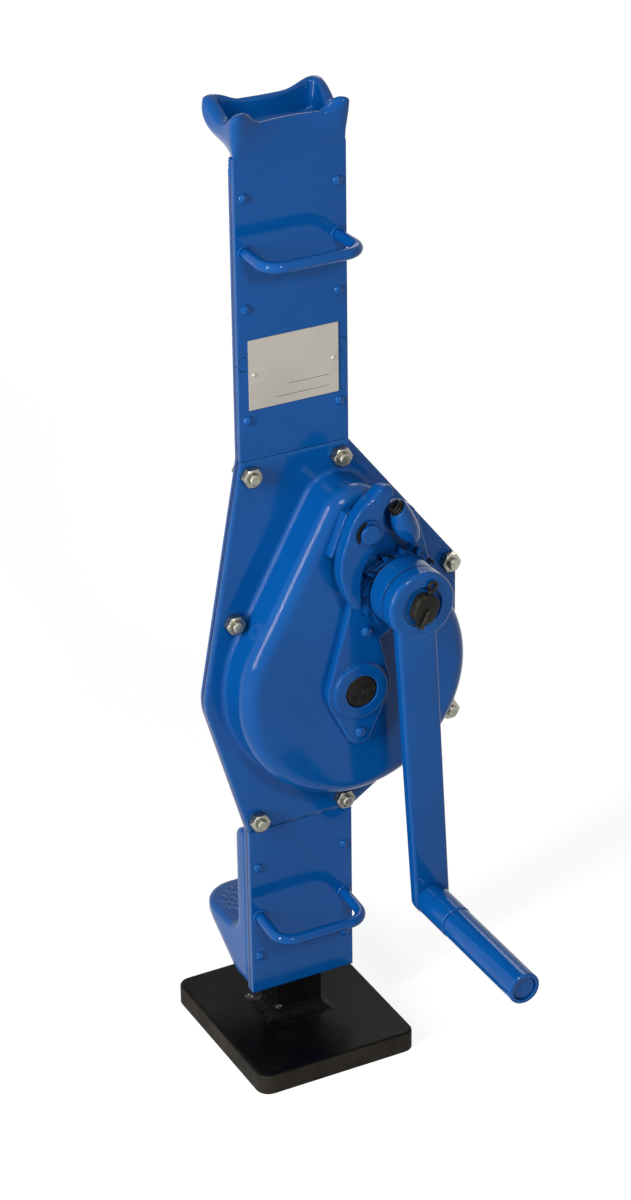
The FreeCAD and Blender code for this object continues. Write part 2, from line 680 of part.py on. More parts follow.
def make_gear_cover():
    """Pressed cover: a hexagonal flange with an egg-shaped bulge over the gears."""
    body = new_body("gear_cover")
    bottom = cover_bottom + s.joint_gap
    top = cover_top - s.joint_gap
    flange = new_sketch(body, "cover_flange", "XZ_Plane", plate_back)
    polygon(flange, hexagon_corners(bottom, top))
    for across, up in bolt_places():
        circle(flange, across, up, s.bolt_radius + s.bolt_hole_clearance)
    pad(body, flange, s.sheet)
    round_hexagon(body, "cover_vertex")
    egg = new_sketch(body, "cover_bulge", "XZ_Plane", plate_back)
    belt(egg, bulge_rounds(0))
    pad(body, egg, bulge_face - plate_back)
    round_edges(body, "bulge_edge", s.bulge_edge, lambda edge: near(edge.BoundBox.YMax, -bulge_face))
    doc.recompute()

    def at_root(edge):
        """Edges in the flange's front that the bulge's wall stands on."""
        faces = body.Tip.Shape.ancestorsOfType(edge, Part.Face)
        reach = max(-face.BoundBox.YMin for face in faces)
        return on_face(plate_front)(edge) and reach > (plate_front + s.sheet).value

    round_edges(body, "bulge_root", s.bulge_root, at_root)
    inside = new_sketch(body, "cover_inside", "XZ_Plane", plate_back)
    belt(inside, bulge_rounds(s.bulge_wall))
    pocket(body, inside, bulge_inner - plate_back, backwards=True)
    round_edges(body, "bulge_inner_edge", s.bulge_inner_edge, on_face(bulge_inner))
    doc.recompute()
    bores = new_sketch(body, "cover_bores", "XZ_Plane", bulge_inner)
    circle(bores, s.gear_axis_x, s.gear_axis_z, s.gear_shaft_radius + s.running_clearance + s.bush_wall)
    circle(bores, crank_x, crank_z, s.crank_shaft_radius + s.running_clearance + s.bush_wall)
    circle(bores, pivot_x, pivot_z, s.pawl_pin_radius)
    pocket(body, bores, s.bulge_wall, backwards=True)
    piece("gear_cover", body)


def make_rear_shell():
    """Rear half of the housing: a flange like the front sheets, the rack's channel and a pinion pocket."""
    body = new_body("rear_shell")
    flange = new_sketch(body, "shell_flange", "XZ_Plane", flange_back)
    corners = hexagon_corners(cover_bottom, cover_top)
    column = [(-half_column, s.column_bottom), (half_column, s.column_bottom)]
    upper = [(half_column, shell_top), (-half_column, shell_top)]
    polygon(flange, column + corners[1:5] + upper + corners[5:] + corners[:1])
    for across, up in bolt_places():
        circle(flange, across, up, s.bolt_radius + s.bolt_hole_clearance)
    for side in (-1, 1):
        for height in rivet_heights(s.column_bottom, shell_top):
            circle(flange, side * s.rivet_x, height, s.rivet_radius)
    circle(flange, crank_x, crank_z, s.crank_journal_radius + s.running_clearance + s.bush_wall)
    pad(body, flange, s.sheet)
    round_hexagon(body, "shell_vertex")
    channel = new_sketch(body, "shell_channel", "XZ_Plane", flange_back)
    rectangle(channel, -channel_half, channel_half, s.column_bottom, shell_top)
    pad(body, channel, flange_back - channel_outer, backwards=True)
    wrap = new_sketch(body, "shell_pocket", "XZ_Plane", flange_back)
    rectangle(wrap, 0, pocket_right + s.sheet, s.gear_axis_z - pocket_half_height - s.sheet,
              s.gear_axis_z + pocket_half_height + s.sheet)
    pad(body, wrap, flange_back - channel_outer, backwards=True)

    def at_bend(edge):
        """Edges of the rear face, without the open ends of the channel."""
        beside = edge.BoundBox.XMin > channel_half.value - tolerance
        return near(edge.BoundBox.YMin, -channel_outer) and (beside or not along(x_axis)(edge))

    round_edges(body, "shell_bends", s.channel_bend, at_bend)
    run = new_sketch(body, "shell_run", "XZ_Plane", plate_back)
    rectangle(run, -channel_left, channel_left, s.column_bottom, shell_top)
    pocket(body, run, plate_back - channel_inner)
    recess = new_sketch(body, "shell_recess", "XZ_Plane", plate_back)
    rectangle(recess, 0, pocket_right, s.gear_axis_z - pocket_half_height, s.gear_axis_z + pocket_half_height)
    pocket(body, recess, plate_back - channel_inner)
    bore = new_sketch(body, "shell_bore", "XZ_Plane", channel_inner)
    circle(bore, s.gear_axis_x, s.gear_axis_z, s.gear_journal_radius + s.running_clearance + s.bush_wall)
    pocket(body, bore, s.sheet)
    piece("rear_shell", body)


def make_guide_shoes():
    """Wear strips between the channel's wall and the rack's back, low down and opposite the pinion."""
    shoes = []
    for label, height in (("lower", s.column_bottom + s.lower_shoe_rise), ("pinion", s.gear_axis_z)):
        shoes.append(block(label + "_shoe", -channel_left, -s.rack_back - s.shoe_clearance,
                           -s.rack_offset - s.shoe_depth / 2, -s.rack_offset + s.shoe_depth / 2,
                           height - s.shoe_length / 2, height + s.shoe_length / 2))
    piece("guide_shoes", group("guide_shoes", shoes))


# Head and claw

def make_head():
    """Forged crown: a flared dish with a horn at each corner and scooped rims between the horns."""
    body = new_body("head")
    middle = s.rack_offset
    half_neck = s.head_neck_width / 2
    rim_depth = plate_front + middle
    horn_z = s.plate_top + s.head_height
    rim_z = horn_z - s.head_rim_drop
    floor_z = horn_z - s.head_dish_depth
    neck = new_sketch(body, "head_neck", "XY_Plane", shell_top)
    rectangle(neck, -half_neck, half_neck, -plate_back, -channel_outer)
    pad(body, neck, s.plate_top - shell_top)
    seat = new_sketch(body, "head_seat", "XY_Plane", s.plate_top)
    corner = s.head_seat_round
    front = corner - plate_front
    rear = -channel_outer - corner
    belt(seat, [(half_column - corner, front, corner), (half_neck, rear, corner), (-half_neck, rear, corner),
                (corner - half_column, front, corner)])

    def section(name, height, half_width, half_depth, middle_depth, corner):
        sketch = new_sketch(body, name, "XY_Plane", height)
        cushion(sketch, half_width, middle, half_depth, half_depth - middle_depth, s.head_side_bow, corner)
        return sketch

    belly = section("head_belly", s.plate_top + s.head_belly_height, s.head_belly_width / 2,
                    s.head_belly_depth / 2, rim_depth, s.head_corner)
    crown = section("head_crown", horn_z, s.head_width / 2, s.head_depth / 2, rim_depth, s.head_corner)
    loft(body, "head_flare", seat, [belly, crown])
    doc.recompute()
    inner_width = s.head_width / 2 - s.head_wall
    inner_depth = s.head_depth / 2 - s.head_wall
    mouth = section("dish_mouth", horn_z, inner_width, inner_depth, rim_depth - s.head_wall,
                    s.head_dish_corner)
    floor = section("dish_floor", floor_z, inner_width - s.head_floor_inset, inner_depth - s.head_floor_inset,
                    rim_depth - s.head_wall - s.head_floor_inset / 2, s.head_dish_corner)
    loft(body, "head_dish", mouth, [floor], cutting=True)
    doc.recompute()
    scoops = (("XZ_Plane", "front_scoop", 0, s.head_front_flat, s.head_depth),
              ("YZ_Plane", "side_scoop", middle, s.head_side_flat, s.head_width))
    for role, name, centre, flat, reach in scoops:
        scoop = new_sketch(body, name, role, reach)
        low = rim_z + s.head_scoop_radius
        belt(scoop, [(centre - flat, low, s.head_scoop_radius), (centre + flat, low, s.head_scoop_radius)])
        pocket(body, scoop, 2 * reach)
    piece("head", body)


def make_claw():
    """Low lifting claw: two cheeks beside the channel and a toe behind it."""
    body = new_body("claw")
    bottom = s.column_bottom + s.claw_bottom_rise
    toe = s.column_bottom + s.claw_toe_rise
    top = s.column_bottom + s.claw_cheek_rise
    heel = s.claw_fit - channel_outer
    profile = new_sketch(body, "claw_side", "YZ_Plane", -half_column)
    polygon(profile, [(-flange_back, bottom), (s.claw_heel_back, bottom),
                      (s.claw_knee_back, toe - s.claw_knee_drop), (s.claw_reach, toe - s.claw_tip_thickness),
                      (s.claw_reach, toe), (s.claw_cheek_back, toe), (s.claw_cheek_back, top),
                      (-flange_back, top)])
    pad(body, profile, s.column_width)
    rounds = (("inner", s.claw_cheek_back, toe, s.claw_inner_fillet),
              ("cheek", s.claw_cheek_back, top, s.claw_cheek_round),
              ("heel", s.claw_heel_back, bottom, s.claw_heel_round))
    for label, depth, height, radius in rounds:
        round_edges(body, "claw_round_" + label, radius, lambda edge: near(edge.BoundBox.YMin, depth)
                    and level(height)(edge) and along(x_axis)(edge))
        doc.recompute()
    plan = new_sketch(body, "claw_plan", "XY_Plane", top)
    corner = s.claw_corner
    rectangle(plan, -s.column_width, s.column_width, -2 * s.claw_reach, 2 * s.claw_reach)
    belt(plan, [(corner - half_column, -flange_back - corner, corner),
                (half_column - corner, -flange_back - corner, corner),
                (half_column - corner, s.claw_reach - corner, corner),
                (corner - half_column, s.claw_reach - corner, corner)])
    pocket(body, plan, top - bottom)
    slot = new_sketch(body, "claw_slot", "XY_Plane", top)
    rectangle(slot, -channel_half - s.claw_fit, channel_half + s.claw_fit, -flange_back, heel)
    pocket(body, slot, top - bottom)
    round_edges(body, "claw_edges", s.claw_edge,
                lambda edge: level(toe)(edge) and edge.BoundBox.YMax > sizes["claw_knee_back"])
    piece("claw", body)


# Handles
def make_handle(name, height, tilt):
    """Round bar bent to a U, its ends welded to the front plate."""
    rod = s.handle_rod / 2
    straight = s.handle_reach - s.handle_bend
    half = s.handle_half_width
    solids = []
    for side, turn in ((-1, 180), (1, 270)):
        solids.append(cylinder(name + "_leg_%d" % side, side * half, 0, straight, 0, rod))
        bend = doc.addObject("Part::Torus", name + "_bend_%d" % side)
        bend.Placement.Rotation = FreeCAD.Rotation(z_axis, turn)
        place(bend, side * (half - s.handle_bend), straight, 0)
        bind(bend, "Radius1", s.handle_bend)
        bind(bend, "Radius2", rod)
        bend.Angle3 = 90
        solids.append(bend)
    bar = doc.addObject("Part::Cylinder", name + "_bar")
    bar.Placement.Rotation = FreeCAD.Rotation(y_axis, 90)
    place(bar, s.handle_bend - half, s.handle_reach, 0)
    bind(bar, "Radius", rod)
    bind(bar, "Height", 2 * (half - s.handle_bend))
    handle = fuse(name, bar, *solids)
    handle.Placement.Rotation = FreeCAD.Rotation(x_axis, as_size(tilt).value)
    place(handle, 0, plate_front + s.joint_gap, height)
    bind(handle, "Placement.Rotation.Angle", tilt)
    piece(name, handle)


# Fasteners and the name plate

def make_column_rivets():
    rivets = []
    for side in (-1, 1):
        for height in rivet_heights(s.column_bottom, s.plate_top):
            label = "rivet_%d_%d" % (side, len(rivets))
            across = side * s.rivet_x
            shank = cylinder(label + "_shank", across, flange_back, plate_front, height, s.rivet_radius)
            head = dome(label + "_head", across, plate_front, height, s.rivet_head_radius, s.rivet_head)
            rivets.append(fuse(label, shank, head))
    piece("column_rivets", group("column_rivets", rivets))


def make_name_plate():
    plate = block("name_sheet", -s.name_plate_width / 2, s.name_plate_width / 2, plate_front,
                  plate_front + s.name_plate_thickness, name_plate_z - s.name_plate_height / 2,
                  name_plate_z + s.name_plate_height / 2)
    piece("name_plate", plate)
    face = plate_front + s.name_plate_thickness
    rivets = []
    plugs = []
    for side in (-1, 1):
        rivets.append(dome("name_rivet_%d" % side, side * s.name_rivet_x, face, name_plate_z,
                           s.name_rivet_radius, s.name_rivet_head))
        plugs.append(cylinder("plug_%d" % side, side * s.plug_x, plate_back, plate_front, plug_z,
                              s.plug_radius))
    piece("name_plate_rivets", group("name_plate_rivets", rivets))
    piece("plate_plugs", group("plate_plugs", plugs))


def hexagon_bar(name, across, start, end, up):
    """Hexagonal bar along the front axis, one corner pointing up."""
    bar = doc.addObject("Part::Prism", name)
    bar.Polygon = 6
    bar.Placement.Rotation = front_turn
    place(bar, across, start, up)
    bind(bar, "Circumradius", s.nut_flats / 2 / cosine(30))
    bind(bar, "Height", as_size(end) - start)
    return bar


def make_cover_bolts():
    bolts = []
    nuts = []
    nut_end = plate_front + s.nut_height
    bolt_tip = nut_end + s.bolt_end
    chamfer = 1 / math.tan(math.radians(sizes["nut_chamfer_angle"]))
    for index, (across, up) in enumerate(bolt_places()):
        shank = cylinder("bolt_shank_%d" % index, across, flange_back, bolt_tip - s.bolt_chamfer, up,
                         s.bolt_radius)
        tip = cone("bolt_tip_%d" % index, across, bolt_tip - s.bolt_chamfer, bolt_tip, up, s.bolt_radius,
                   s.bolt_radius - s.bolt_chamfer)
        head = hexagon_bar("bolt_head_%d" % index, across, flange_back - s.bolt_head, flange_back, up)
        bolts.append(fuse("bolt_%d" % index, head, shank, tip))
        blank = doc.addObject("Part::Common", "nut_blank_%d" % index)
        blank.Base = hexagon_bar("nut_bar_%d" % index, across, plate_front, nut_end, up)
        blank.Tool = cone("nut_chamfer_%d" % index, across, plate_front, nut_end, up,
                          s.nut_face_radius + s.nut_height * chamfer, s.nut_face_radius)
        thread = cylinder("nut_thread_%d" % index, across, plate_front, nut_end, up, s.bolt_radius)
        nuts.append(cut("nut_%d" % index, blank, thread))
    piece("cover_bolts", group("cover_bolts", bolts))
    piece("cover_nuts", group("cover_nuts", nuts))


# Bracket, bushes, pawl fittings

def make_bearing_bracket():
    """Plate on the bulge that carries both front bearings and the pawl's spring post."""
    body = new_body("bearing_bracket")
    gear_lobe = (s.gear_axis_x, s.gear_axis_z, s.bracket_gear_lobe)
    waist = (s.gear_axis_x + s.bracket_waist_shift, s.gear_axis_z + s.bracket_waist_rise,
             s.bracket_waist_radius)
    foot_z = s.gear_axis_z - s.bracket_foot_drop
    lower = new_sketch(body, "bracket_lower", "XZ_Plane", bulge_face)
    # The outline touches the gear lobe on both sides, on the way up and on the way down.
    belt(lower, [(s.gear_axis_x, foot_z, s.bracket_foot_lobe), gear_lobe, waist,
                 (s.gear_axis_x - tolerance, s.gear_axis_z, s.bracket_gear_lobe)])
    pad(body, lower, s.bracket_thickness)
    upper = new_sketch(body, "bracket_upper", "XZ_Plane", bulge_face)
    belt(upper, [waist, (crank_x, crank_z, s.bracket_crank_lobe),
                 (crank_x, crank_z + s.bracket_post_rise, s.bracket_post_lobe)])
    pad(body, upper, s.bracket_thickness)
    round_edges(body, "bracket_edge", s.bracket_edge, on_face(bracket_face))
    boss = new_sketch(body, "bracket_boss", "XZ_Plane", bracket_face)
    circle(boss, s.gear_axis_x, s.gear_axis_z, s.boss_radius)
    pad(body, boss, s.boss_height)
    round_edges(body, "boss_edge", s.boss_edge, on_face(boss_face))
    doc.recompute()
    seats = new_sketch(body, "bracket_seats", "XZ_Plane", bulge_face)
    circle(seats, s.gear_axis_x, s.gear_axis_z, s.gear_shaft_radius + s.running_clearance + s.bush_wall)
    circle(seats, crank_x, crank_z, s.crank_shaft_radius + s.running_clearance + s.bush_wall)
    pocket(body, seats, s.bracket_thickness, backwards=True)
    lip = new_sketch(body, "boss_bore", "XZ_Plane", bracket_face)
    circle(lip, s.gear_axis_x, s.gear_axis_z, s.gear_shaft_radius + s.boss_bore_gap)
    pocket(body, lip, s.boss_height, backwards=True)
    notch = new_sketch(body, "bracket_pawl_notch", "XZ_Plane", bulge_face)
    circle(notch, pivot_x, pivot_z, s.pawl_boss_radius + s.joint_gap)
    pocket(body, notch, s.bracket_thickness, backwards=True)
    piece("bearing_bracket", body)
    heads = []
    for label, across, up in (("foot", s.gear_axis_x, foot_z),
                              ("side", waist[0] + s.bracket_rivet_shift, waist[1] + s.bracket_rivet_rise)):
        heads.append(dome("bracket_rivet_" + label, across, bracket_face, up, s.bracket_rivet_radius,
                          s.bracket_rivet_head))
    piece("bracket_rivets", group("bracket_rivets", heads))


def make_bush(name, across, up, bore, start, end, flange=()):
    """Plain bush from start to end; a flange is given by its own start and end."""
    inner = bore + s.running_clearance
    outer = inner + s.bush_wall
    solids = [cylinder(name + "_wall", across, start, end, up, outer)]
    holes = [cylinder(name + "_bore", across, start, end, up, inner)]
    if flange:
        solids.append(cylinder(name + "_flange", across, *flange, up, outer + s.bush_flange))
        holes.append(cylinder(name + "_flange_bore", across, *flange, up, inner))
    blank = fuse(name + "_blank", *solids) if flange else solids[0]
    piece(name, cut(name, blank, *holes))


def make_bushes():
    make_bush("gear_front_bush", s.gear_axis_x, s.gear_axis_z, s.gear_shaft_radius, bulge_inner, bracket_face)
    make_bush("crank_front_bush", crank_x, crank_z, s.crank_shaft_radius, bulge_inner, bracket_face)
    make_bush("crank_rear_bush", crank_x, crank_z, s.crank_journal_radius, flange_back, plate_back,
              (plate_back, plate_back + s.bush_flange_thickness))
    make_bush("gear_rear_bush", s.gear_axis_x, s.gear_axis_z, s.gear_journal_radius, channel_outer,
              channel_inner, (channel_outer - s.bush_flange_thickness, channel_outer))


def make_pawl_fittings():
    """Pin with a boss behind the pawl and a groove for its clip, and the block that the pawl rests on."""
    pin_radius = s.pawl_pin_radius
    boss_end = pawl_back - s.pawl_side_gap
    clip_back = pawl_front + s.pawl_side_gap
    piece("pawl_pin", turned("pawl_pin", pivot_x, pivot_z, [
        (0, bulge_inner), (pin_radius, bulge_inner), (pin_radius, bulge_face),
        (s.pawl_boss_radius, bulge_face), (s.pawl_boss_radius, boss_end), (pin_radius, boss_end),
        (pin_radius, clip_back),
        (s.pawl_pin_groove, clip_back), (s.pawl_pin_groove, clip_front), (pin_radius, clip_front),
        (pin_radius, pin_end - s.pawl_pin_edge), (pin_radius - s.pawl_pin_edge, pin_end), (0, pin_end)]))
    ring = cylinder("clip_blank", pivot_x, clip_back, clip_front, pivot_z, s.pawl_clip_radius)
    hole = cylinder("clip_bore", pivot_x, clip_back, clip_front, pivot_z, s.pawl_pin_groove)
    mouth = block("clip_mouth", pivot_x, pivot_x + s.pawl_clip_radius, clip_back, clip_front,
                  pivot_z - s.pawl_clip_slot, pivot_z)
    piece("pawl_clip", cut("pawl_clip", ring, hole, mouth))
    body = new_body("pawl_rest")
    outline = new_sketch(body, "rest_outline", "XZ_Plane", bulge_face)
    half = s.rest_block_width / 2
    upper_x = pivot_x + s.rest_block_upper_x
    upper_z = pivot_z + s.rest_block_upper_z
    lower_x = pivot_x + s.rest_block_lower_x
    lower_z = pivot_z + s.rest_block_lower_z
    polygon(outline, [(lower_x - half, lower_z), (lower_x + half, lower_z), (upper_x + half, upper_z),
                      (upper_x - half, upper_z)])
    pad(body, outline, s.rest_block_height)
    round_edges(body, "rest_edges", s.rest_block_edge, on_face(bulge_face + s.rest_block_height))
    clear = cylinder("rest_clear", pivot_x, bulge_face, pawl_front, pivot_z, s.pawl_boss_radius)
    piece("pawl_rest", cut("pawl_rest_cut", body, clear))


def lean_left(thing, angle):
    """Turns a shape that stands upright so that its top leans to the left."""
    thing.Placement.Rotation = FreeCAD.Rotation(-y_axis, as_size(angle).value)
    bind(thing, "Placement.Rotation.Angle", angle)


def post_seat(depth):
    """Point on the spring's axis, at a depth inside the post's end."""
    return (pivot_x + s.post_end_x + depth * sine(s.post_end_lean), post_ahead,
            pivot_z + s.post_end_z - depth * cosine(s.post_end_lean))


def make_spring_post():
    """Curved horn with a bore for the spring, on a round foot that stands on the bracket."""
    sections = []
    for label in ("tail", "middle", "end"):
        ring = doc.addObject("Part::Circle", "post_" + label)
        across, up, radius, lean = (getattr(s, "post_%s_%s" % (label, word))
                                    for word in ("x", "z", "radius", "lean"))
        lean_left(ring, lean)
        place(ring, pivot_x + across, post_ahead, pivot_z + up)
        bind(ring, "Radius", radius)
        sections.append(ring)
    horn = doc.addObject("Part::Loft", "post_horn")
    horn.Sections = sections
    horn.Solid = True
    foot = cylinder("post_foot", pivot_x + s.post_middle_x, bracket_face, post_ahead,
                    pivot_z + s.post_middle_z, s.post_foot_radius)
    bore = doc.addObject("Part::Cylinder", "post_bore")
    lean_left(bore, s.post_end_lean)
    place(bore, *post_seat(s.post_bore_depth))
    bind(bore, "Radius", s.post_bore_radius)
    bind(bore, "Height", 2 * s.post_bore_depth)
    piece("spring_post", cut("spring_post", fuse("post_blank", horn, foot), bore))


def make_pawl_spring():
    """Coil spring that stands in the post's bore and pushes on the pawl's shoulder."""
    coil = doc.addObject("Part::Helix", "spring_line")
    bind(coil, "Radius", s.spring_radius)
    bind(coil, "Height", s.spring_length - 2 * s.spring_wire)
    bind(coil, "Pitch", (s.spring_length - 2 * s.spring_wire) / s.spring_turns)
    wire = doc.addObject("Part::Circle", "spring_section")
    bind(wire, "Radius", s.spring_wire)
    bind(wire, "Placement.Base.x", s.spring_radius)
    wire.Placement.Rotation = FreeCAD.Rotation(x_axis, 90)
    sweep = doc.addObject("Part::Sweep", "spring_coil")
    sweep.Sections = [wire]
    sweep.Spine = (coil, ["Edge1"])
    sweep.Solid = True
    sweep.Frenet = True
    lean_left(sweep, s.post_end_lean)
    place(sweep, *post_seat(s.post_bore_depth - s.spring_wire - s.spring_seat_gap))
    piece("pawl_spring", sweep)


# Gears

def involute(base_radius, radius):
    angle = math.acos(min(1.0, base_radius / radius))
    return math.tan(angle) - angle


def gear_outline(teeth, module, shift, root, tip, backlash, tooth_angle):
    """Wire of a spur gear about the origin: each flank is two arcs through points of its involute."""
    pitch_radius = module * teeth / 2
    pressure = math.radians(sizes["pressure_angle"])
    base_radius = pitch_radius * math.cos(pressure)
    thickness = module * (math.pi / 2 + 2 * shift * math.tan(pressure)) - backlash
    half = thickness / (2 * pitch_radius) + involute(base_radius, pitch_radius)
    start = max(base_radius, root)

    def spot(radius, angle):
        return FreeCAD.Vector(radius * math.cos(angle), 0, radius * math.sin(angle))

    edges = []
    last = None
    for tooth in range(teeth + 1):
        centre = tooth_angle + 2 * math.pi * tooth / teeth
        radii = [start + (tip - start) * (step / 4) ** 2 for step in range(5)]
        flank = [(radius, half - involute(base_radius, radius)) for radius in radii]
        rise = [spot(radius, centre - angle) for radius, angle in flank]
        foot = spot(root, centre - flank[0][1])
        if last is not None:
            edges.append(Part.makeLine(last, foot))
        if tooth == teeth:
            break
        fall = [spot(radius, centre + angle) for radius, angle in reversed(flank)]
        if start > root:
            edges.append(Part.makeLine(foot, rise[0]))
        edges += [Part.Arc(*rise[:3]).toShape(), Part.Arc(*rise[2:]).toShape()]
        edges.append(Part.makeLine(rise[-1], fall[0]))
        edges += [Part.Arc(*fall[:3]).toShape(), Part.Arc(*fall[2:]).toShape()]
        last = spot(root, centre + flank[0][1])
        if start > root:
            edges.append(Part.makeLine(fall[-1], last))
    return Part.Wire(edges)


def gear_solid(name, outline, across, start, width, up):
    solid = doc.addObject("Part::Feature", name)
    solid.Shape = Part.Face(outline).extrude(FreeCAD.Vector(0, -as_size(width).value, 0))
    place_now = FreeCAD.Vector(as_size(across).value, -as_size(start).value, as_size(up).value)
    solid.Placement = FreeCAD.Placement(place_now, FreeCAD.Rotation())
    return solid


def shaft_profile(radius, start, end):
    """Round shaft with a chamfered front end and the small cone of a centre drill in it."""
    return [(0, start), (radius, start), (radius, end - s.shaft_chamfer), (radius - s.shaft_chamfer, end),
            (s.centre_drill, end), (0, end - s.centre_drill)]


def make_pinion_shaft():
    """Shaft with the rack pinion cut on it; one tooth points straight at the rack."""
    module = sizes["rack_module"]
    root = (s.gear_axis_x - rack_tip_x - s.rack_root_gap).value
    outline = gear_outline(sizes["rack_pinion_teeth"], module, sizes["rack_pinion_shift"], root,
                           rack_pinion_tip.value, 0, math.pi)
    start = rack_rear + s.pinion_margin
    width = s.rack_depth
    teeth = gear_solid("rack_pinion", outline, s.gear_axis_x, start, width, s.gear_axis_z)
    rear = cylinder("pinion_journal", s.gear_axis_x, channel_outer - s.bush_flange_thickness, start,
                    s.gear_axis_z, s.gear_journal_radius)
    front = turned("pinion_front", s.gear_axis_x, s.gear_axis_z,
                   shaft_profile(s.gear_shaft_radius, start + width, boss_face - s.shaft_recess))
    shaft = fuse("pinion_shaft_blank", teeth, rear, front)
    seat = key_block("pinion_keyway", s.running_clearance)
    piece("pinion_shaft", cut("pinion_shaft", shaft, seat))


def key_block(name, play):
    """Square key half in the shaft and half in the gear's hub."""
    top = s.gear_axis_z + s.gear_shaft_radius
    return block(name, s.gear_axis_x - s.key_width / 2 - play, s.gear_axis_x + s.key_width / 2 + play,
                 gear_back, gear_front, top - s.key_height / 2 - play, top + s.key_height / 2 + play)


def make_main_gear():
    module = sizes["gear_module"]
    teeth = sizes["gear_teeth"]
    root = module * (teeth / 2 - sizes["gear_dedendum"] - sizes["gear_shift"])
    mesh_angle = math.radians(sizes["crank_angle"]) + math.pi / teeth
    outline = gear_outline(teeth, module, -sizes["gear_shift"], root, gear_tip.value,
                           sizes["gear_backlash"] / 2, mesh_angle)
    wheel = gear_solid("main_gear_blank", outline, s.gear_axis_x, gear_back, s.gear_width, s.gear_axis_z)
    bore = cylinder("main_gear_bore", s.gear_axis_x, gear_back, gear_front, s.gear_axis_z,
                    s.gear_shaft_radius + s.running_clearance)
    piece("main_gear", cut("main_gear", wheel, bore, key_block("main_gear_keyway", s.running_clearance)))
    piece("gear_key", key_block("gear_key", as_size(0)))


def make_crank_pinion():
    module = sizes["gear_module"]
    teeth = sizes["crank_pinion_teeth"]
    root = module * (teeth / 2 - sizes["gear_dedendum"] + sizes["gear_shift"])
    tip = module * (teeth / 2 + 1 + sizes["gear_shift"])
    mesh_angle = math.radians(sizes["crank_angle"]) + math.pi
    outline = gear_outline(teeth, module, sizes["gear_shift"], root, tip, sizes["gear_backlash"] / 2,
                           mesh_angle)
    blank = gear_solid("crank_pinion_blank", outline, crank_x, gear_back, s.gear_width, crank_z)
    bore = cylinder("crank_pinion_bore", crank_x, gear_back, gear_front, crank_z, s.crank_journal_radius)
    piece("crank_pinion", cut("crank_pinion", blank, bore))


# Crank

def make_crank_shaft():
    rear = cylinder("crank_rear_shaft", crank_x, flange_back, gear_front, crank_z, s.crank_journal_radius)
    front = turned("crank_front", crank_x, crank_z,
                   shaft_profile(s.crank_shaft_radius, gear_front, shaft_end))
    reach = s.crank_shaft_radius + s.split_pin_radius
    hole = pin_bar("split_pin_bore", -reach, reach, pin_ahead, s.split_pin_hole)
    piece("crank_shaft", cut("crank_shaft", fuse("crank_shaft_blank", rear, front), hole))


def pin_place(thing, along_pin, ahead):
    """Puts a shape on the split pin's line, at a distance from the shaft's axis."""
    place(thing, crank_x + along_pin * cosine(s.split_pin_angle), ahead,
          crank_z + along_pin * sine(s.split_pin_angle))


def pin_bar(name, start, end, ahead, radius):
    """Bar along the split pin's line."""
    bar = doc.addObject("Part::Cylinder", name)
    bar.Placement.Rotation = FreeCAD.Rotation(y_axis, 90 - sizes["split_pin_angle"])
    pin_place(bar, start, ahead)
    bind(bar, "Radius", radius)
    bind(bar, "Height", end - start)
    return bar


def make_split_pin():
    """Pin through the shaft's end: an eye above, one leg straight, the other bent over the shaft's face."""
    wire = s.split_pin_radius
    bar = pin_bar("split_pin_bar", -s.split_pin_lower, s.split_pin_upper, pin_ahead, wire)
    eye = doc.addObject("Part::Torus", "split_pin_eye")
    eye.Placement.Rotation = front_turn
    pin_place(eye, s.split_pin_upper + s.split_pin_eye, pin_ahead)
    bind(eye, "Radius1", s.split_pin_eye)
    bind(eye, "Radius2", s.split_pin_eye_wire)
    fold = -s.crank_shaft_radius - s.split_pin_knee - s.split_pin_leg_lift
    leg_ahead = shaft_end + s.split_pin_knee + s.split_pin_leg_lift
    bridge = doc.addObject("Part::Cylinder", "split_pin_bridge")
    bridge.Placement.Rotation = front_turn
    pin_place(bridge, fold, pin_ahead)
    bind(bridge, "Radius", s.split_pin_bridge)
    bind(bridge, "Height", leg_ahead - pin_ahead)
    knee = doc.addObject("Part::Sphere", "split_pin_knee")
    pin_place(knee, fold, leg_ahead)
    bind(knee, "Radius", s.split_pin_knee)
    leg = pin_bar("split_pin_leg", fold, as_size(0), leg_ahead, s.split_pin_leg)
    piece("split_pin", fuse("split_pin", bar, eye, bridge, knee, leg))


def make_ring(name, start, end, radius, bore):
    blank = cylinder(name + "_blank", crank_x, start, end, crank_z, radius)
    hole = cylinder(name + "_bore", crank_x, start, end, crank_z, bore)
    return cut(name, blank, hole)


def make_ratchet_wheel():
    """Ratchet with steep faces that stop the load from turning the crank back."""
    body = new_body("ratchet_wheel")
    disc = new_sketch(body, "ratchet_disc", "XZ_Plane", ratchet_start)
    pitch = 360 / s.ratchet_teeth
    corners = []
    for tooth in range(sizes["ratchet_teeth"]):
        face = s.ratchet_face_angle + pitch * tooth
        for radius in (s.ratchet_tip, s.ratchet_root):
            corners.append((crank_x + radius * cosine(face), crank_z + radius * sine(face)))
    polygon(disc, corners)
    circle(disc, crank_x, crank_z, s.crank_shaft_radius)
    pad(body, disc, s.ratchet_thickness)
    piece("ratchet_wheel", body)


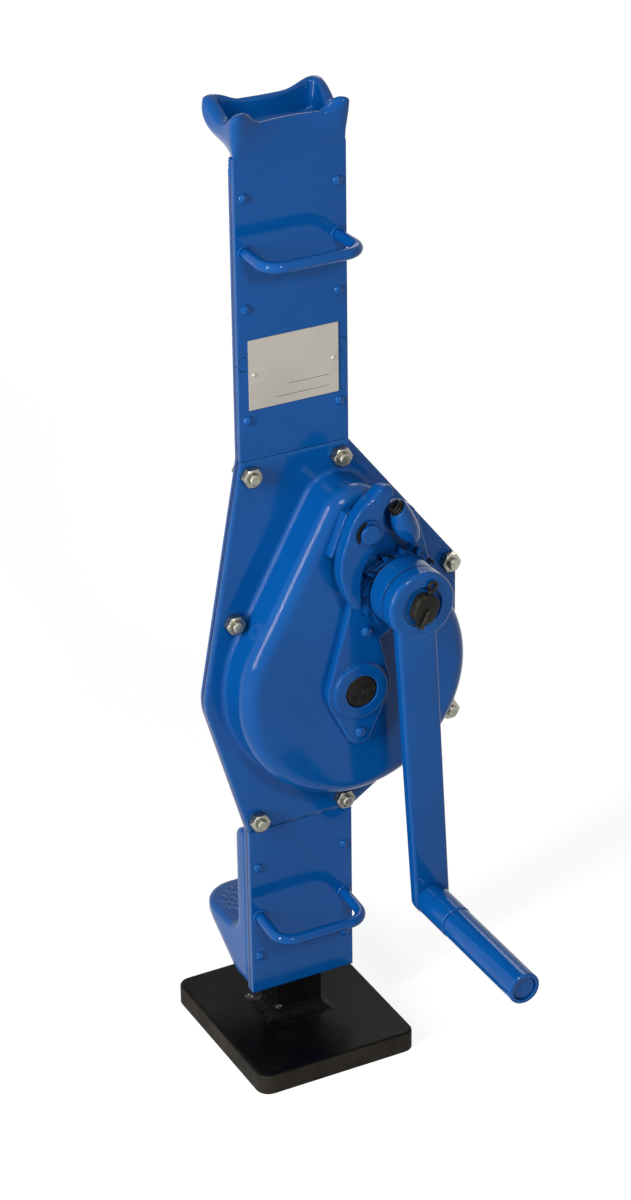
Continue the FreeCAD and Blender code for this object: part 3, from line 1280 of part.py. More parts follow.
def make_brake():
    bore = s.crank_shaft_radius
    rear = make_ring("rear_friction_ring", ring_start, ratchet_start, s.friction_ring_radius, bore)
    piece("rear_friction_ring", rear)
    front = make_ring("front_friction_ring", ratchet_end, disc_start, s.friction_ring_radius, bore)
    piece("front_friction_ring", front)
    edge = s.disc_edge
    disc = turned("brake_disc", crank_x, crank_z, [
        (bore, disc_start), (s.disc_radius - edge, disc_start), (s.disc_radius, disc_start + edge),
        (s.disc_radius, hub_start - edge), (s.disc_radius - edge, hub_start), (bore, hub_start)])
    piece("brake_disc", disc)
    recess_floor = hub_end - s.hub_recess_depth
    hub = turned("crank_hub", crank_x, crank_z, [
        (bore, hub_start), (s.disc_radius, hub_start), (s.disc_radius, hub_end),
        (s.hub_recess_radius, hub_end), (s.hub_recess_radius, recess_floor), (bore, recess_floor)])
    round_edges(hub, "hub_edge", s.hub_edge, rim(hub_end, s.disc_radius))
    piece("crank_hub", hub)


def make_crank_arm():
    """Flat bar from the hub to the grip, slightly narrower at the grip."""
    body = new_body("crank_bar")
    outline = new_sketch(body, "arm_outline", "XZ_Plane", arm_back)
    belt(outline, [(grip_x, grip_z, s.arm_grip_half_width), (crank_x, crank_z, s.arm_hub_half_width)])
    pad(body, outline, s.arm_thickness)
    round_edges(body, "arm_edges", s.arm_edge,
                lambda edge: on_face(arm_front)(edge) or on_face(arm_back)(edge))
    room = cylinder("arm_hub_room", crank_x, arm_back, arm_front, crank_z, s.disc_radius)
    hole = cylinder("arm_spindle_hole", grip_x, arm_back, arm_front, grip_z, s.spindle_radius)
    piece("crank_arm", cut("crank_arm", body, room, hole))


def make_grip():
    """Spindle with a thick collar, and the sleeve that spins on it between the collar and a washer."""
    edge = s.grip_edge
    bar = s.spindle_radius
    piece("grip_spindle", turned("grip_spindle", grip_x, grip_z, [
        (0, arm_back), (bar, arm_back), (bar, arm_front), (s.collar_radius, arm_front),
        (s.collar_radius, collar_end - edge), (s.collar_radius - edge, collar_end), (bar, collar_end),
        (bar, spindle_end), (0, spindle_end)]))
    piece("grip_end_washer", cylinder("end_washer", grip_x, spindle_end, spindle_end + s.end_washer_thickness,
                                      grip_z, s.end_washer_radius))
    bore = bar + s.running_clearance
    recess_floor = sleeve_end - s.sleeve_recess_depth
    piece("grip_sleeve", turned("grip_sleeve", grip_x, grip_z, [
        (bore, sleeve_start), (s.sleeve_radius - edge, sleeve_start), (s.sleeve_radius, sleeve_start + edge),
        (s.sleeve_radius, sleeve_end - edge), (s.sleeve_radius - edge, sleeve_end),
        (s.sleeve_recess_radius, sleeve_end), (s.sleeve_recess_radius, recess_floor), (bore, recess_floor)]))


# Pawl

def make_pawl():
    """Hooked pawl, drawn just clear of the ratchet; turned inwards, its tooth drops behind a steep face."""
    body = new_body("pawl_forging")
    outline = new_sketch(body, "pawl_outline", "XZ_Plane", pawl_back)

    def about_pivot(across, up):
        """A point of the engaged pawl, swung out about the pivot to where it stands clear."""
        swing = s.pawl_engage_angle
        right = across - pivot_x
        above = up - pivot_z
        return (pivot_x + right * cosine(swing) + above * sine(swing),
                pivot_z + above * cosine(swing) - right * sine(swing))

    def tooth(radius, turn):
        angle = s.ratchet_face_angle + turn
        return about_pivot(crank_x + radius * cosine(angle), crank_z + radius * sine(angle))

    def corner(label):
        return (pivot_x + getattr(s, "pawl_%s_x" % label), pivot_z + getattr(s, "pawl_%s_z" % label))

    tip = s.ratchet_root + s.pawl_tooth_depth_gap
    outer = s.ratchet_tip + s.ratchet_tip - s.ratchet_root
    half_pitch = 180 / s.ratchet_teeth
    hook = [tooth(s.ratchet_tip, half_pitch), tooth(tip, s.pawl_face_gap), tooth(outer, s.pawl_face_gap)]
    before = [corner(label) for label in ("head", "knob", "crown", "flank", "back", "heel", "toe")]
    after = [corner(label) for label in ("neck", "inner", "hip", "shoulder", "nose")]
    polygon(outline, before + hook + after)
    circle(outline, pivot_x, pivot_z, s.pawl_pin_radius + s.running_clearance)
    pad(body, outline, s.pawl_thickness)
    rounds = (("head", s.pawl_head_round), ("knob", s.pawl_round), ("crown", s.pawl_round),
              ("back", s.pawl_round), ("heel", s.pawl_round), ("nose", s.pawl_nose_round))
    for label, radius in rounds:
        round_edges(body, "pawl_round_" + label, radius, edge_at(*corner(label)))
    bore_rim = rim(pawl_front, s.pawl_pin_radius + s.running_clearance)
    round_edges(body, "pawl_edge", s.pawl_edge, lambda edge: on_face(pawl_front)(edge) and not bore_rim(edge))
    piece("pawl", body)


make_base_plate()
make_rack()
make_foot_weld()
make_front_plate("upper_front_plate", cover_top, s.plate_top)
make_front_plate("lower_front_plate", s.column_bottom, cover_bottom)
make_gear_cover()
make_rear_shell()
make_guide_shoes()
make_head()
make_claw()
make_handle("upper_handle", s.plate_top - s.upper_handle_drop, -s.upper_handle_tilt)
make_handle("lower_handle", s.column_bottom + s.lower_handle_rise, s.lower_handle_tilt)
make_column_rivets()
make_name_plate()
make_cover_bolts()
make_bearing_bracket()
make_bushes()
make_pawl_fittings()
make_spring_post()
make_pawl_spring()
make_pinion_shaft()
make_main_gear()
make_crank_pinion()
make_crank_shaft()
make_split_pin()
make_ratchet_wheel()
make_brake()
make_crank_arm()
make_grip()
make_pawl()
doc.recompute()

failed = [thing.Label for thing in doc.Objects if {"Invalid", "Error"} & set(thing.State)]
broken = [name for name, thing in pieces.items() if thing.Shape.isNull() or not thing.Shape.isValid()]
if failed or broken:
    raise RuntimeError("failed: %s, broken: %s" % (failed, broken))

os.makedirs("parts", exist_ok=True)
for name, thing in pieces.items():
    thing.Shape.exportStep("parts/%s.step" % name)
print(len(pieces), "pieces written")
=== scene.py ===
import bpy
import math
import numpy as np
from mathutils import Matrix, Vector


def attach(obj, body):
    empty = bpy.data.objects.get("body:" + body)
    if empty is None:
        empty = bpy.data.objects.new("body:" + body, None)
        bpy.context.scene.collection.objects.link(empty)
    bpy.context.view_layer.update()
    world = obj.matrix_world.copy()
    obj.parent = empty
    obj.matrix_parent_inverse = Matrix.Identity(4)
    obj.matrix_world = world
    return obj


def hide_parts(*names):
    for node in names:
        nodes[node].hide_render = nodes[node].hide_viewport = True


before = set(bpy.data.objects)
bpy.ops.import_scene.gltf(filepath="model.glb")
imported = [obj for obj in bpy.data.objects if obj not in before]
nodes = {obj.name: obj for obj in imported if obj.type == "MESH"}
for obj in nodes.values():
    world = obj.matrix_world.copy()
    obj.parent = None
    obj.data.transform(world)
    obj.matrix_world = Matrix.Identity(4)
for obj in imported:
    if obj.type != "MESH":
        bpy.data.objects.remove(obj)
scene = bpy.context.scene
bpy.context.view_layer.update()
print("frame loaded:", len(nodes), "nodes")


# camera, fitted to the photograph
cameraView = {"target": (0, 0, 0.365), "distance": 2.3996, "azimuth": -26.79, "elevation": 27.7,
              "roll": -1.01, "lens": 102.64, "shift": (0.0234, -0.0065)}


def placeCamera(view):
    az, el, roll = (math.radians(view[k]) for k in ("azimuth", "elevation", "roll"))
    back = Vector((math.sin(az) * math.cos(el), -math.cos(az) * math.cos(el), math.sin(el)))
    side = Vector((math.cos(az), math.sin(az), 0))
    rise = back.cross(side)
    right = side * math.cos(roll) + rise * math.sin(roll)
    up = rise * math.cos(roll) - side * math.sin(roll)
    data = bpy.data.cameras.new("photoCamera")
    data.lens = view["lens"]
    data.shift_x, data.shift_y = view["shift"]
    camera = bpy.data.objects.new("photoCamera", data)
    turn = Matrix((right, up, back)).transposed().to_4x4()
    camera.matrix_world = Matrix.Translation(Vector(view["target"]) + back * view["distance"]) @ turn
    scene.collection.objects.link(camera)
    scene.camera = camera


placeCamera(cameraView)
print("camera placed")


# materials: sums on sockets add Math nodes
class Wire:
    def __init__(self, finish, socket):
        self.finish = finish
        self.socket = socket

    def sum(self, operation, left, right):
        return self.finish.node("ShaderNodeMath", {"operation": operation}, {0: left, 1: right})

    def __add__(self, other):
        return self.sum("ADD", self, other)

    def __radd__(self, other):
        return self.sum("ADD", other, self)

    def __sub__(self, other):
        return self.sum("SUBTRACT", self, other)

    def __rsub__(self, other):
        return self.sum("SUBTRACT", other, self)

    def __mul__(self, other):
        return self.sum("MULTIPLY", self, other)

    def __rmul__(self, other):
        return self.sum("MULTIPLY", other, self)


sensing = {"samples": 6, "edge": (0.02, 0.2), "corner": (0.25, 0.8)}  # how edges and corners are found


class Finish:
    def __init__(self, name):
        self.material = bpy.data.materials.new(name)
        self.material.use_nodes = True
        self.tree = self.material.node_tree
        self.tree.nodes.clear()
        self.place = self.node("ShaderNodeTexCoord", out="Object")
        self.flat = self.node("ShaderNodeNewGeometry", out="Normal")

    def node(self, kind, settings={}, sockets={}, out=0):  # any node: settings first, then its sockets
        made = self.tree.nodes.new(kind)
        for key, value in settings.items():
            setattr(made, key, value)
        for key, value in sockets.items():
            if isinstance(value, Wire):
                self.tree.links.new(value.socket, made.inputs[key])
            else:
                made.inputs[key].default_value = value
        return Wire(self, made.outputs[out]) if made.outputs else None

    def noise(self, scale, detail, rough, at=None):
        sockets = {"Vector": at or self.place, "Scale": scale, "Detail": detail, "Roughness": rough}
        return self.node("ShaderNodeTexNoise", {}, sockets, "Fac")

    def step(self, value, low, high, start=0.0, end=1.0):  # smooth step from start to end
        return self.node("ShaderNodeMapRange", {"interpolation_type": "SMOOTHSTEP", "clamp": True},
                         {"Value": value, "From Min": low, "From Max": high, "To Min": start, "To Max": end})

    def blend(self, share, under, over):  # colour under to colour over
        return self.node("ShaderNodeMix", {"data_type": "RGBA"}, {0: share, 6: under, 7: over}, 2)

    def stretch(self, scale, turn=(0, 0, 0)):
        return self.node("ShaderNodeMapping", {}, {"Vector": self.place, "Scale": scale, "Rotation": turn})

    def rounded(self, radius):  # normal that runs smoothly over an edge
        return self.node("ShaderNodeBevel", {"samples": sensing["samples"]}, {"Radius": radius})

    def edges(self, radius):  # 1 along edges, 0 on faces
        turned = self.node("ShaderNodeVectorMath", {"operation": "DOT_PRODUCT"},
                           {0: self.rounded(radius), 1: self.flat}, "Value")
        return self.step(1 - turned, *sensing["edge"])

    def corners(self, reach):  # 1 in corners and under parts, 0 in the open
        clear = self.node("ShaderNodeAmbientOcclusion", {"samples": sensing["samples"]}, {"Distance": reach}, "AO")
        return self.step(1 - clear, *sensing["corner"])

    def axis(self, which, vector=None):
        return self.node("ShaderNodeSeparateXYZ", {}, {0: vector or self.place}, which)

    def bump(self, height, depth, strength, normal=None):
        sockets = {"Height": height, "Distance": depth, "Strength": strength}
        if normal:
            sockets["Normal"] = normal
        return self.node("ShaderNodeBump", {}, sockets)

    def done(self, **sockets):  # underscores stand for the spaces in the sockets' names
        named = {key.replace("_", " "): value for key, value in sockets.items()}
        shader = self.node("ShaderNodeBsdfPrincipled", {}, named)
        self.node("ShaderNodeOutputMaterial", {}, {"Surface": shader})
        return self.material


def shade(*tone):
    return (*tone, 1.0)


def grey(level):
    return shade(level, level, level)


# shares of nicks, rubbed edges (rubbed paint and a painted edge highlight), dust and shaded corners (painted shade);
# roughness: least, more in clouds, more in corners
enamelLook = {"deep": shade(0.001, 0.066, 0.265), "plain": shade(0.0016, 0.082, 0.315),
              "worn": shade(0.05, 0.22, 0.52), "dust": shade(0.09, 0.11, 0.13),
              "shadow": shade(0.0006, 0.02, 0.1), "gapShade": shade(0.0005, 0.022, 0.11),
              "nicked": 0.5, "rubbed": 0.16, "dusty": 0.25, "shaded": 0.55, "shadeReach": 0.012,
              "rough": (0.07, 0.07, 0.15), "specular": 0.165}
sheetJoint = {"at": -0.0101, "half": 0.0008, "share": 0.94}  # painted shade of the gap where the front and rear sheets meet
hubJoint = {"at": -0.0829, "half": 0.0007, "share": 0.75}  # painted shade of the groove between brake disc and hub


def blueEnamel(name, peel, lumps, edgeRadius, joint=None):
    f, look = Finish(name), enamelLook
    cloud = f.noise(9, 4, 0.55)
    edge = f.edges(edgeRadius)
    nick = f.step(f.noise(420, 2, 0.6), 0.56, 0.7) * edge
    nook = f.corners(look["shadeReach"])
    tone = f.blend(f.step(cloud, 0.3, 0.7), look["deep"], look["plain"])
    # nicks are wear; the lighter tone along every edge is partly rubbed paint and partly a painted edge highlight
    tone = f.blend(nick * look["nicked"] + edge * look["rubbed"], tone, look["worn"])
    specks = f.step(f.noise(900, 1, 0.5), 0.74, 0.8) * f.step(f.noise(60, 2, 0.5), 0.5, 0.7)
    tone = f.blend(specks * look["dusty"], tone, look["dust"])
    tone = f.blend(nook * look["shaded"], tone, look["shadow"])
    if joint:  # painted shade: dark line round the sides, in the gap at the joint
        facing = f.axis("Y", f.flat)
        away = f.axis("Y") - joint["at"]
        line = f.step(away * away, joint["half"] ** 2, (2 * joint["half"]) ** 2, 1.0, 0.0)
        sideways = f.step(facing * facing, 0.6, 0.85, joint["share"], 0.0)
        tone = f.blend(line * sideways, tone, look["gapShade"])
    least, clouded, cornered = look["rough"]
    rough = least + clouded * f.step(f.noise(35, 5, 0.6), 0.35, 0.7) + cornered * nook
    skin = f.noise(310, 2, 0.5) * peel + f.noise(42, 2, 0.5) * lumps
    relief = f.bump(skin, 0.001, 0.5, f.rounded(edgeRadius))
    return f.done(Base_Color=tone, Roughness=rough, Specular_IOR_Level=look["specular"], Normal=relief)


# black steel that the blue paint has partly covered
oversprayLook = {"steel": shade(0.004, 0.0045, 0.006), "shaded": 0.8, "rough": (0.16, 0.25), "specular": 0.15}


def oversprayed(name, mask):  # mask gives 1 where the steel is bare
    f, look = Finish(name), oversprayLook
    bare = mask(f)
    tone = f.blend(f.corners(0.006) * look["shaded"], enamelLook["deep"], enamelLook["shadow"])
    tone = f.blend(bare, tone, look["steel"])
    relief = f.bump(f.noise(260, 3, 0.55), 0.0006, 0.5, f.rounded(0.0008))
    rough = look["rough"][0] + look["rough"][1] * bare
    return f.done(Base_Color=tone, Roughness=rough, Specular_IOR_Level=look["specular"], Normal=relief)


pawlPivot = (0.029039, 0.433468)
clipMask = {"leftward": 0.94, "upward": 0.35, "waver": 0.004, "from": 0.0065, "to": 0.008}
ratchetMask = {"axis": 0.383, "fade": 3, "from": 0.55, "to": 0.68}


def clipBare(f):  # upper left half of the clip
    mask = clipMask
    turned = (f.axis("Z") - pawlPivot[1]) * mask["upward"] - (f.axis("X") - pawlPivot[0]) * mask["leftward"]
    return f.step(turned + f.noise(420, 2, 0.5) * mask["waver"], mask["from"], mask["to"])


def ratchetBare(f):  # blotches, and less of them lower down
    mask = ratchetMask
    return f.step(f.noise(95, 3, 0.6) + (f.axis("Z") - mask["axis"]) * mask["fade"], mask["from"], mask["to"])


# roughness: least, more in clouds, more on the sides; light specks: place and reach, the one at the stem's lower
# front a painted highlight of weld spatter
blackLook = {"plain": shade(0.0024, 0.0025, 0.0032), "brown": shade(0.008, 0.007, 0.005),
             "side": shade(0.03, 0.026, 0.021), "scratch": shade(0.07, 0.06, 0.05),
             "lightSpeck": shade(0.4, 0.38, 0.34), "scratched": 0.4, "rubbed": 0.6, "sideTop": (0.015, 0.018),
             "rough": (0.2, 0.16, 0.3), "specular": 0.038, "lightSpeckFlat": 4,
             "lightSpecks": [(-0.019, -0.012, 0.027, 0.009), (-0.0249, 0.0267, 0.016, 0.008)]}


def blackPaint(name):
    f, look = Finish(name), blackLook
    cloud = f.noise(14, 5, 0.6)
    upright = f.axis("Z", f.flat)
    side = 1 - f.step(upright * upright, 0.15, 0.6)
    edge = f.edges(0.0018)
    streak = f.noise(60, 3, 0.6, f.stretch((0.6, 9, 9), (0, 0, 0.42)))
    scratch = f.step(streak, 0.66, 0.72) * f.step(f.noise(25, 2, 0.5), 0.45, 0.65)
    low = 1 - f.step(f.axis("Z"), *look["sideTop"])
    tone = f.blend(f.step(cloud, 0.4, 0.75), look["plain"], look["brown"])
    tone = f.blend(side * low * f.step(f.noise(40, 4, 0.6), 0.2, 0.7, 0.35, 0.95), tone, look["side"])
    tone = f.blend(scratch * look["scratched"], tone, look["scratch"])
    tone = f.blend(edge * f.step(f.noise(260, 3, 0.6), 0.5, 0.66) * look["rubbed"], tone, look["scratch"])
    # light specks; the one at the stem's lower front is a painted highlight of weld spatter
    for x, y, z, reach in look["lightSpecks"]:
        dx, dy, dz = f.axis("X") - x, f.axis("Y") - y, f.axis("Z") - z
        near = f.step(dx * dx + dy * dy + dz * dz * look["lightSpeckFlat"], 0.0, reach ** 2, 1.0, 0.0)
        tone = f.blend(f.step(f.noise(700, 5, 0.75) * near, 0.5, 0.56), tone, look["lightSpeck"])
    least, clouded, sided = look["rough"]
    rough = least + clouded * f.step(cloud, 0.3, 0.7) + sided * side
    cutting = f.noise(75, 3, 0.6, f.stretch((3.2, 3.2, 0.35)))  # traces of the cut on the sides
    skin = f.noise(180, 3, 0.55) * 0.12 + cutting * side * 0.7 + f.noise(24, 3, 0.5) * 0.35
    relief = f.bump(skin, 0.001, 0.6, f.rounded(0.0016))
    return f.done(Base_Color=tone, Roughness=rough, Specular_IOR_Level=look["specular"], Normal=relief)


zincLook = {"dull": shade(0.24, 0.235, 0.19), "bright": shade(0.4, 0.39, 0.33),
            "cornerShade": shade(0.06, 0.052, 0.035), "cornerShaded": 0.8, "rough": (0.26, 0.2)}


def zincPlate(name):
    f, look = Finish(name), zincLook
    cloud = f.noise(120, 4, 0.6)
    tone = f.blend(f.step(cloud, 0.3, 0.7), look["dull"], look["bright"])
    # painted shade: darker in corners and under parts
    tone = f.blend(f.corners(0.004) * look["cornerShaded"], tone, look["cornerShade"])
    rough = look["rough"][0] + look["rough"][1] * f.step(f.noise(500, 3, 0.6), 0.35, 0.7)
    relief = f.bump(f.noise(700, 2, 0.5), 0.0004, 0.25, f.rounded(0.0005))
    return f.done(Base_Color=tone, Roughness=rough, Metallic=1.0, Normal=relief)


# blank writing lines: from, to, height
plateLook = {"dull": shade(0.42, 0.385, 0.335), "bright": shade(0.52, 0.485, 0.43),
             "stain": shade(0.34, 0.31, 0.27), "stained": 0.25, "ink": shade(0.05, 0.045, 0.04), "inked": 0.75,
             "rough": (0.36, 0.14), "metal": 0.35, "lineHalf": 0.00016,
             "lines": [(-0.004, 0.027, 0.5325), (-0.014, 0.027, 0.5245)]}


def plateAluminium(name):
    f, look = Finish(name), plateLook
    brushed = f.noise(420, 3, 0.6, f.stretch((0.08, 1, 3)))
    cloud = f.noise(30, 3, 0.5)
    tone = f.blend(brushed, look["dull"], look["bright"])
    tone = f.blend(f.step(cloud, 0.45, 0.75) * look["stained"], tone, look["stain"])
    half = look["lineHalf"]
    for start, end, height in look["lines"]:
        away = f.axis("Z") - height
        ink = f.step(away * away, half ** 2, (2 * half) ** 2, 1.0, 0.0)
        ink = ink * f.step(f.axis("X"), start, start + half) * f.step(f.axis("X"), end, end + half, 1.0, 0.0)
        tone = f.blend(ink * look["inked"], tone, look["ink"])
    rough = look["rough"][0] + look["rough"][1] * brushed
    relief = f.bump(brushed, 0.0002, 0.3, f.rounded(0.0003))
    return f.done(Base_Color=tone, Roughness=rough, Metallic=look["metal"], Normal=relief)


def bareMetal(name, low, high, roughLow, roughHigh, grain):
    f = Finish(name)
    turning = f.noise(grain, 3, 0.6, f.stretch((1, 0.12, 1)))
    tone = f.blend(f.step(turning, 0.3, 0.7), shade(*low), shade(*high))
    # painted shade: darker in corners and under parts
    tone = f.blend(f.corners(0.006) * 0.6, tone, shade(*(0.2 * c for c in low)))
    rough = f.step(f.noise(90, 4, 0.6), 0.3, 0.7, roughLow, roughHigh)
    relief = f.bump(turning, 0.0003, 0.3, f.rounded(0.0005))
    return f.done(Base_Color=tone, Roughness=rough, Metallic=1.0, Normal=relief)


oxideLook = {"deep": shade(0.006, 0.0055, 0.0048), "plain": shade(0.02, 0.017, 0.0135),
             "worn": shade(0.06, 0.053, 0.045), "rubbed": 0.5, "rough": (0.34, 0.2), "specular": 0.14}


def blackOxide(name):
    f, look = Finish(name), oxideLook
    cloud = f.noise(160, 4, 0.6)
    tone = f.blend(f.step(cloud, 0.3, 0.7), look["deep"], look["plain"])
    rubbed = f.edges(0.0006) * f.step(f.noise(600, 2, 0.5), 0.42, 0.6) * look["rubbed"]
    tone = f.blend(rubbed, tone, look["worn"])
    rough = look["rough"][0] + look["rough"][1] * f.step(f.noise(300, 3, 0.6), 0.35, 0.7)
    relief = f.bump(f.noise(500, 3, 0.55), 0.0004, 0.4, f.rounded(0.0005))
    return f.done(Base_Color=tone, Roughness=rough, Specular_IOR_Level=look["specular"], Normal=relief)


liningLook = {"dark": shade(0.06, 0.042, 0.03), "light": shade(0.16, 0.12, 0.085), "rough": (0.8, 0.1)}


def frictionLining(name):
    f, look = Finish(name), liningLook
    fleck = f.noise(900, 2, 0.6)
    tone = f.blend(f.step(fleck, 0.4, 0.65), look["dark"], look["light"])
    relief = f.bump(fleck, 0.0003, 0.5)
    return f.done(Base_Color=tone, Roughness=look["rough"][0] + look["rough"][1] * fleck, Normal=relief)


# each finish with the nodes that wear it; blue enamel takes peel, lumps, edge radius and a joint line of painted
# shade
finishes = {
    "sheetEnamel": (blueEnamel("sheetEnamel", 0.05, 0.10, 0.0012, sheetJoint), [
        "upper_front_plate", "lower_front_plate", "rear_shell", "plate_plugs", "column_rivets"]),
    "coverEnamel": (blueEnamel("coverEnamel", 0.05, 0.10, 0.0045, sheetJoint), ["gear_cover"]),
    "castEnamel": (blueEnamel("castEnamel", 0.14, 0.45, 0.0016), [
        "head", "bearing_bracket", "bracket_rivets", "pawl_pin", "pawl_rest", "spring_post", "pawl"]),
    "forgedEnamel": (blueEnamel("forgedEnamel", 0.05, 0.16, 0.0003), []),
    "clawEnamel": (blueEnamel("clawEnamel", 0.12, 0.5, 0.0065), ["claw"]),
    "barEnamel": (blueEnamel("barEnamel", 0.05, 0.08, 0.0010, hubJoint), [
        "upper_handle", "lower_handle", "brake_disc", "crank_hub", "crank_arm", "grip_spindle", "grip_sleeve",
        "grip_end_washer"]),
    "footPaint": (blackPaint("footPaint"), ["base_plate", "rack", "foot_weld"]),
    "zincPlate": (zincPlate("zincPlate"), ["cover_bolts", "cover_nuts"]),
    "plateAluminium": (plateAluminium("plateAluminium"), ["name_plate", "name_plate_rivets"]),
    "bushBronze": (bareMetal("bushBronze", (0.42, 0.27, 0.1), (0.6, 0.42, 0.18), 0.25, 0.4, 500), [
        "guide_shoes", "gear_front_bush", "gear_rear_bush", "crank_front_bush", "crank_rear_bush"]),
    "cutSteel": (bareMetal("cutSteel", (0.3, 0.3, 0.3), (0.5, 0.5, 0.51), 0.25, 0.42, 700), [
        "main_gear", "gear_key", "crank_pinion"]),
    "blackOxide": (blackOxide("blackOxide"), [
        "pinion_shaft", "crank_shaft", "split_pin", "pawl_spring"]),
    "clipPaint": (oversprayed("clipPaint", clipBare), ["pawl_clip"]),
    "ratchetPaint": (oversprayed("ratchetPaint", ratchetBare), ["ratchet_wheel"]),
    "frictionLining": (frictionLining("frictionLining"), ["rear_friction_ring", "front_friction_ring"]),
}


def dress(thing, material):
    thing.data.materials.clear()
    thing.data.materials.append(material)


for material, dressed in finishes.values():
    for name in dressed:
        dress(nodes[name], material)
print("materials on", sum(len(dressed) for _, dressed in finishes.values()), "nodes")


# new pieces: grids of points worked out with numpy
sharpAngle = math.radians(52)


def surface(name, rows, start=None, end=None):
    # rows of points round a closed way; poles close the two ends, and without poles the last row joins the first
    count, around = rows.shape[:2]
    spans = count if start is None else count - 1
    row, col = np.meshgrid(np.arange(spans), np.arange(around), indexing="ij")

    def spot(r, c):
        return r % count * around + c % around

    points = rows.reshape(-1, 3)
    faces = np.stack([spot(row, col), spot(row, col + 1), spot(row + 1, col + 1), spot(row + 1, col)], -1)
    faces = faces.reshape(-1, 4).tolist()
    if start is not None:
        ring = np.arange(around)
        first, last = np.full_like(ring, len(points)), np.full_like(ring, len(points) + 1)
        faces += np.stack([first, spot(0, ring + 1), spot(0, ring)], -1).tolist()
        faces += np.stack([spot(count - 1, ring), spot(count - 1, ring + 1), last], -1).tolist()
        points = np.concatenate([points, [start], [end]])
    mesh = bpy.data.meshes.new(name)
    mesh.from_pydata(points.tolist(), [], faces)
    mesh.shade_smooth()
    mesh.set_sharp_from_angle(angle=sharpAngle)
    thing = bpy.data.objects.new(name, mesh)
    scene.collection.objects.link(thing)
    return thing


def settle(thing, body, slot, material, *replaced):
    dress(thing, material)
    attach(thing, body)
    if replaced:
        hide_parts(*replaced)


def fullTurn(count):  # angles of a whole turn, without its end
    return np.linspace(0, 2 * np.pi, count, endpoint=False)


def quarterTurn(count):
    return np.linspace(0, np.pi / 2, count)


def ripple(angle, waves):  # 1 and a few sines of the angle: share, count and lag of each
    return 1 + sum(share * np.sin(count * angle + lag) for share, count, lag in waves)


def squareReach(cos, sin, square):  # radius of a superellipse in the direction of cos and sin
    return (np.abs(cos) ** square + np.abs(sin) ** square) ** (-1 / square)


def cushion(angle, halfWidth, halfDepth, frontBow, rearBow, sideBow, square, taper=0.0):
    # outline over an angle: a superellipse whose sides are then drawn inwards, most at their middles
    cos, sin = np.cos(angle), np.sin(angle)
    reach = squareReach(cos, sin, square)
    across, along = reach * cos, reach * sin
    bow = np.where(along < 0, frontBow, rearBow) / halfDepth
    x = halfWidth * across * (1 - sideBow / halfWidth * (1 - along ** 2)) * (1 - taper * (1 + along) / 2)
    return np.stack([x, halfDepth * along * (1 - bow * (1 - across ** 2))], -1)


# outlines: half width, half depth, bow of front, rear and sides, squareness, taper; neck: half width, front, rear;
# skirt: underside, lip and foot of the wall, from the seat; horns: width, top
headForm = {"middle": 0.0022, "neck": (0.026, -0.0108, 0.0197), "neckSquare": 40, "neckEdge": (0.97, 0.0006),
            "seatOutline": (0.0416, 0.0171, 0.0, -0.0003, 0.0, 60, 0.26),
            "bellyOutline": (0.0435, 0.0215, 0.0046, 0.0036, 0.0018, 9),
            "crownOutline": (0.0449, 0.0285, 0.0115, 0.0062, 0.0032, 7), "crownShift": (-0.0006, 0),
            "mouthOutline": (0.0385, 0.0215, 0.0105, 0.0055, 0.002, 6),
            "baseOutline": (0.0345, 0.0185, 0.009, 0.0045, 0.002, 6),
            "bottom": 0.69, "seat": 0.698, "belly": 0.71, "horn": 0.7302, "floor": 0.709,
            "skirt": (-0.0009, -0.0006, 0.0004), "skirtShare": 0.985,
            "frontLow": 0.7205, "rearLow": 0.7257, "rearSpread": 1.4, "edge": 0.0028, "corner": 0.0045,
            "horns": [(0.0270, 0.7308), (0.0215, 0.7309), (0.0185, 0.7302), (0.0150, 0.7292)],
            "around": 288}


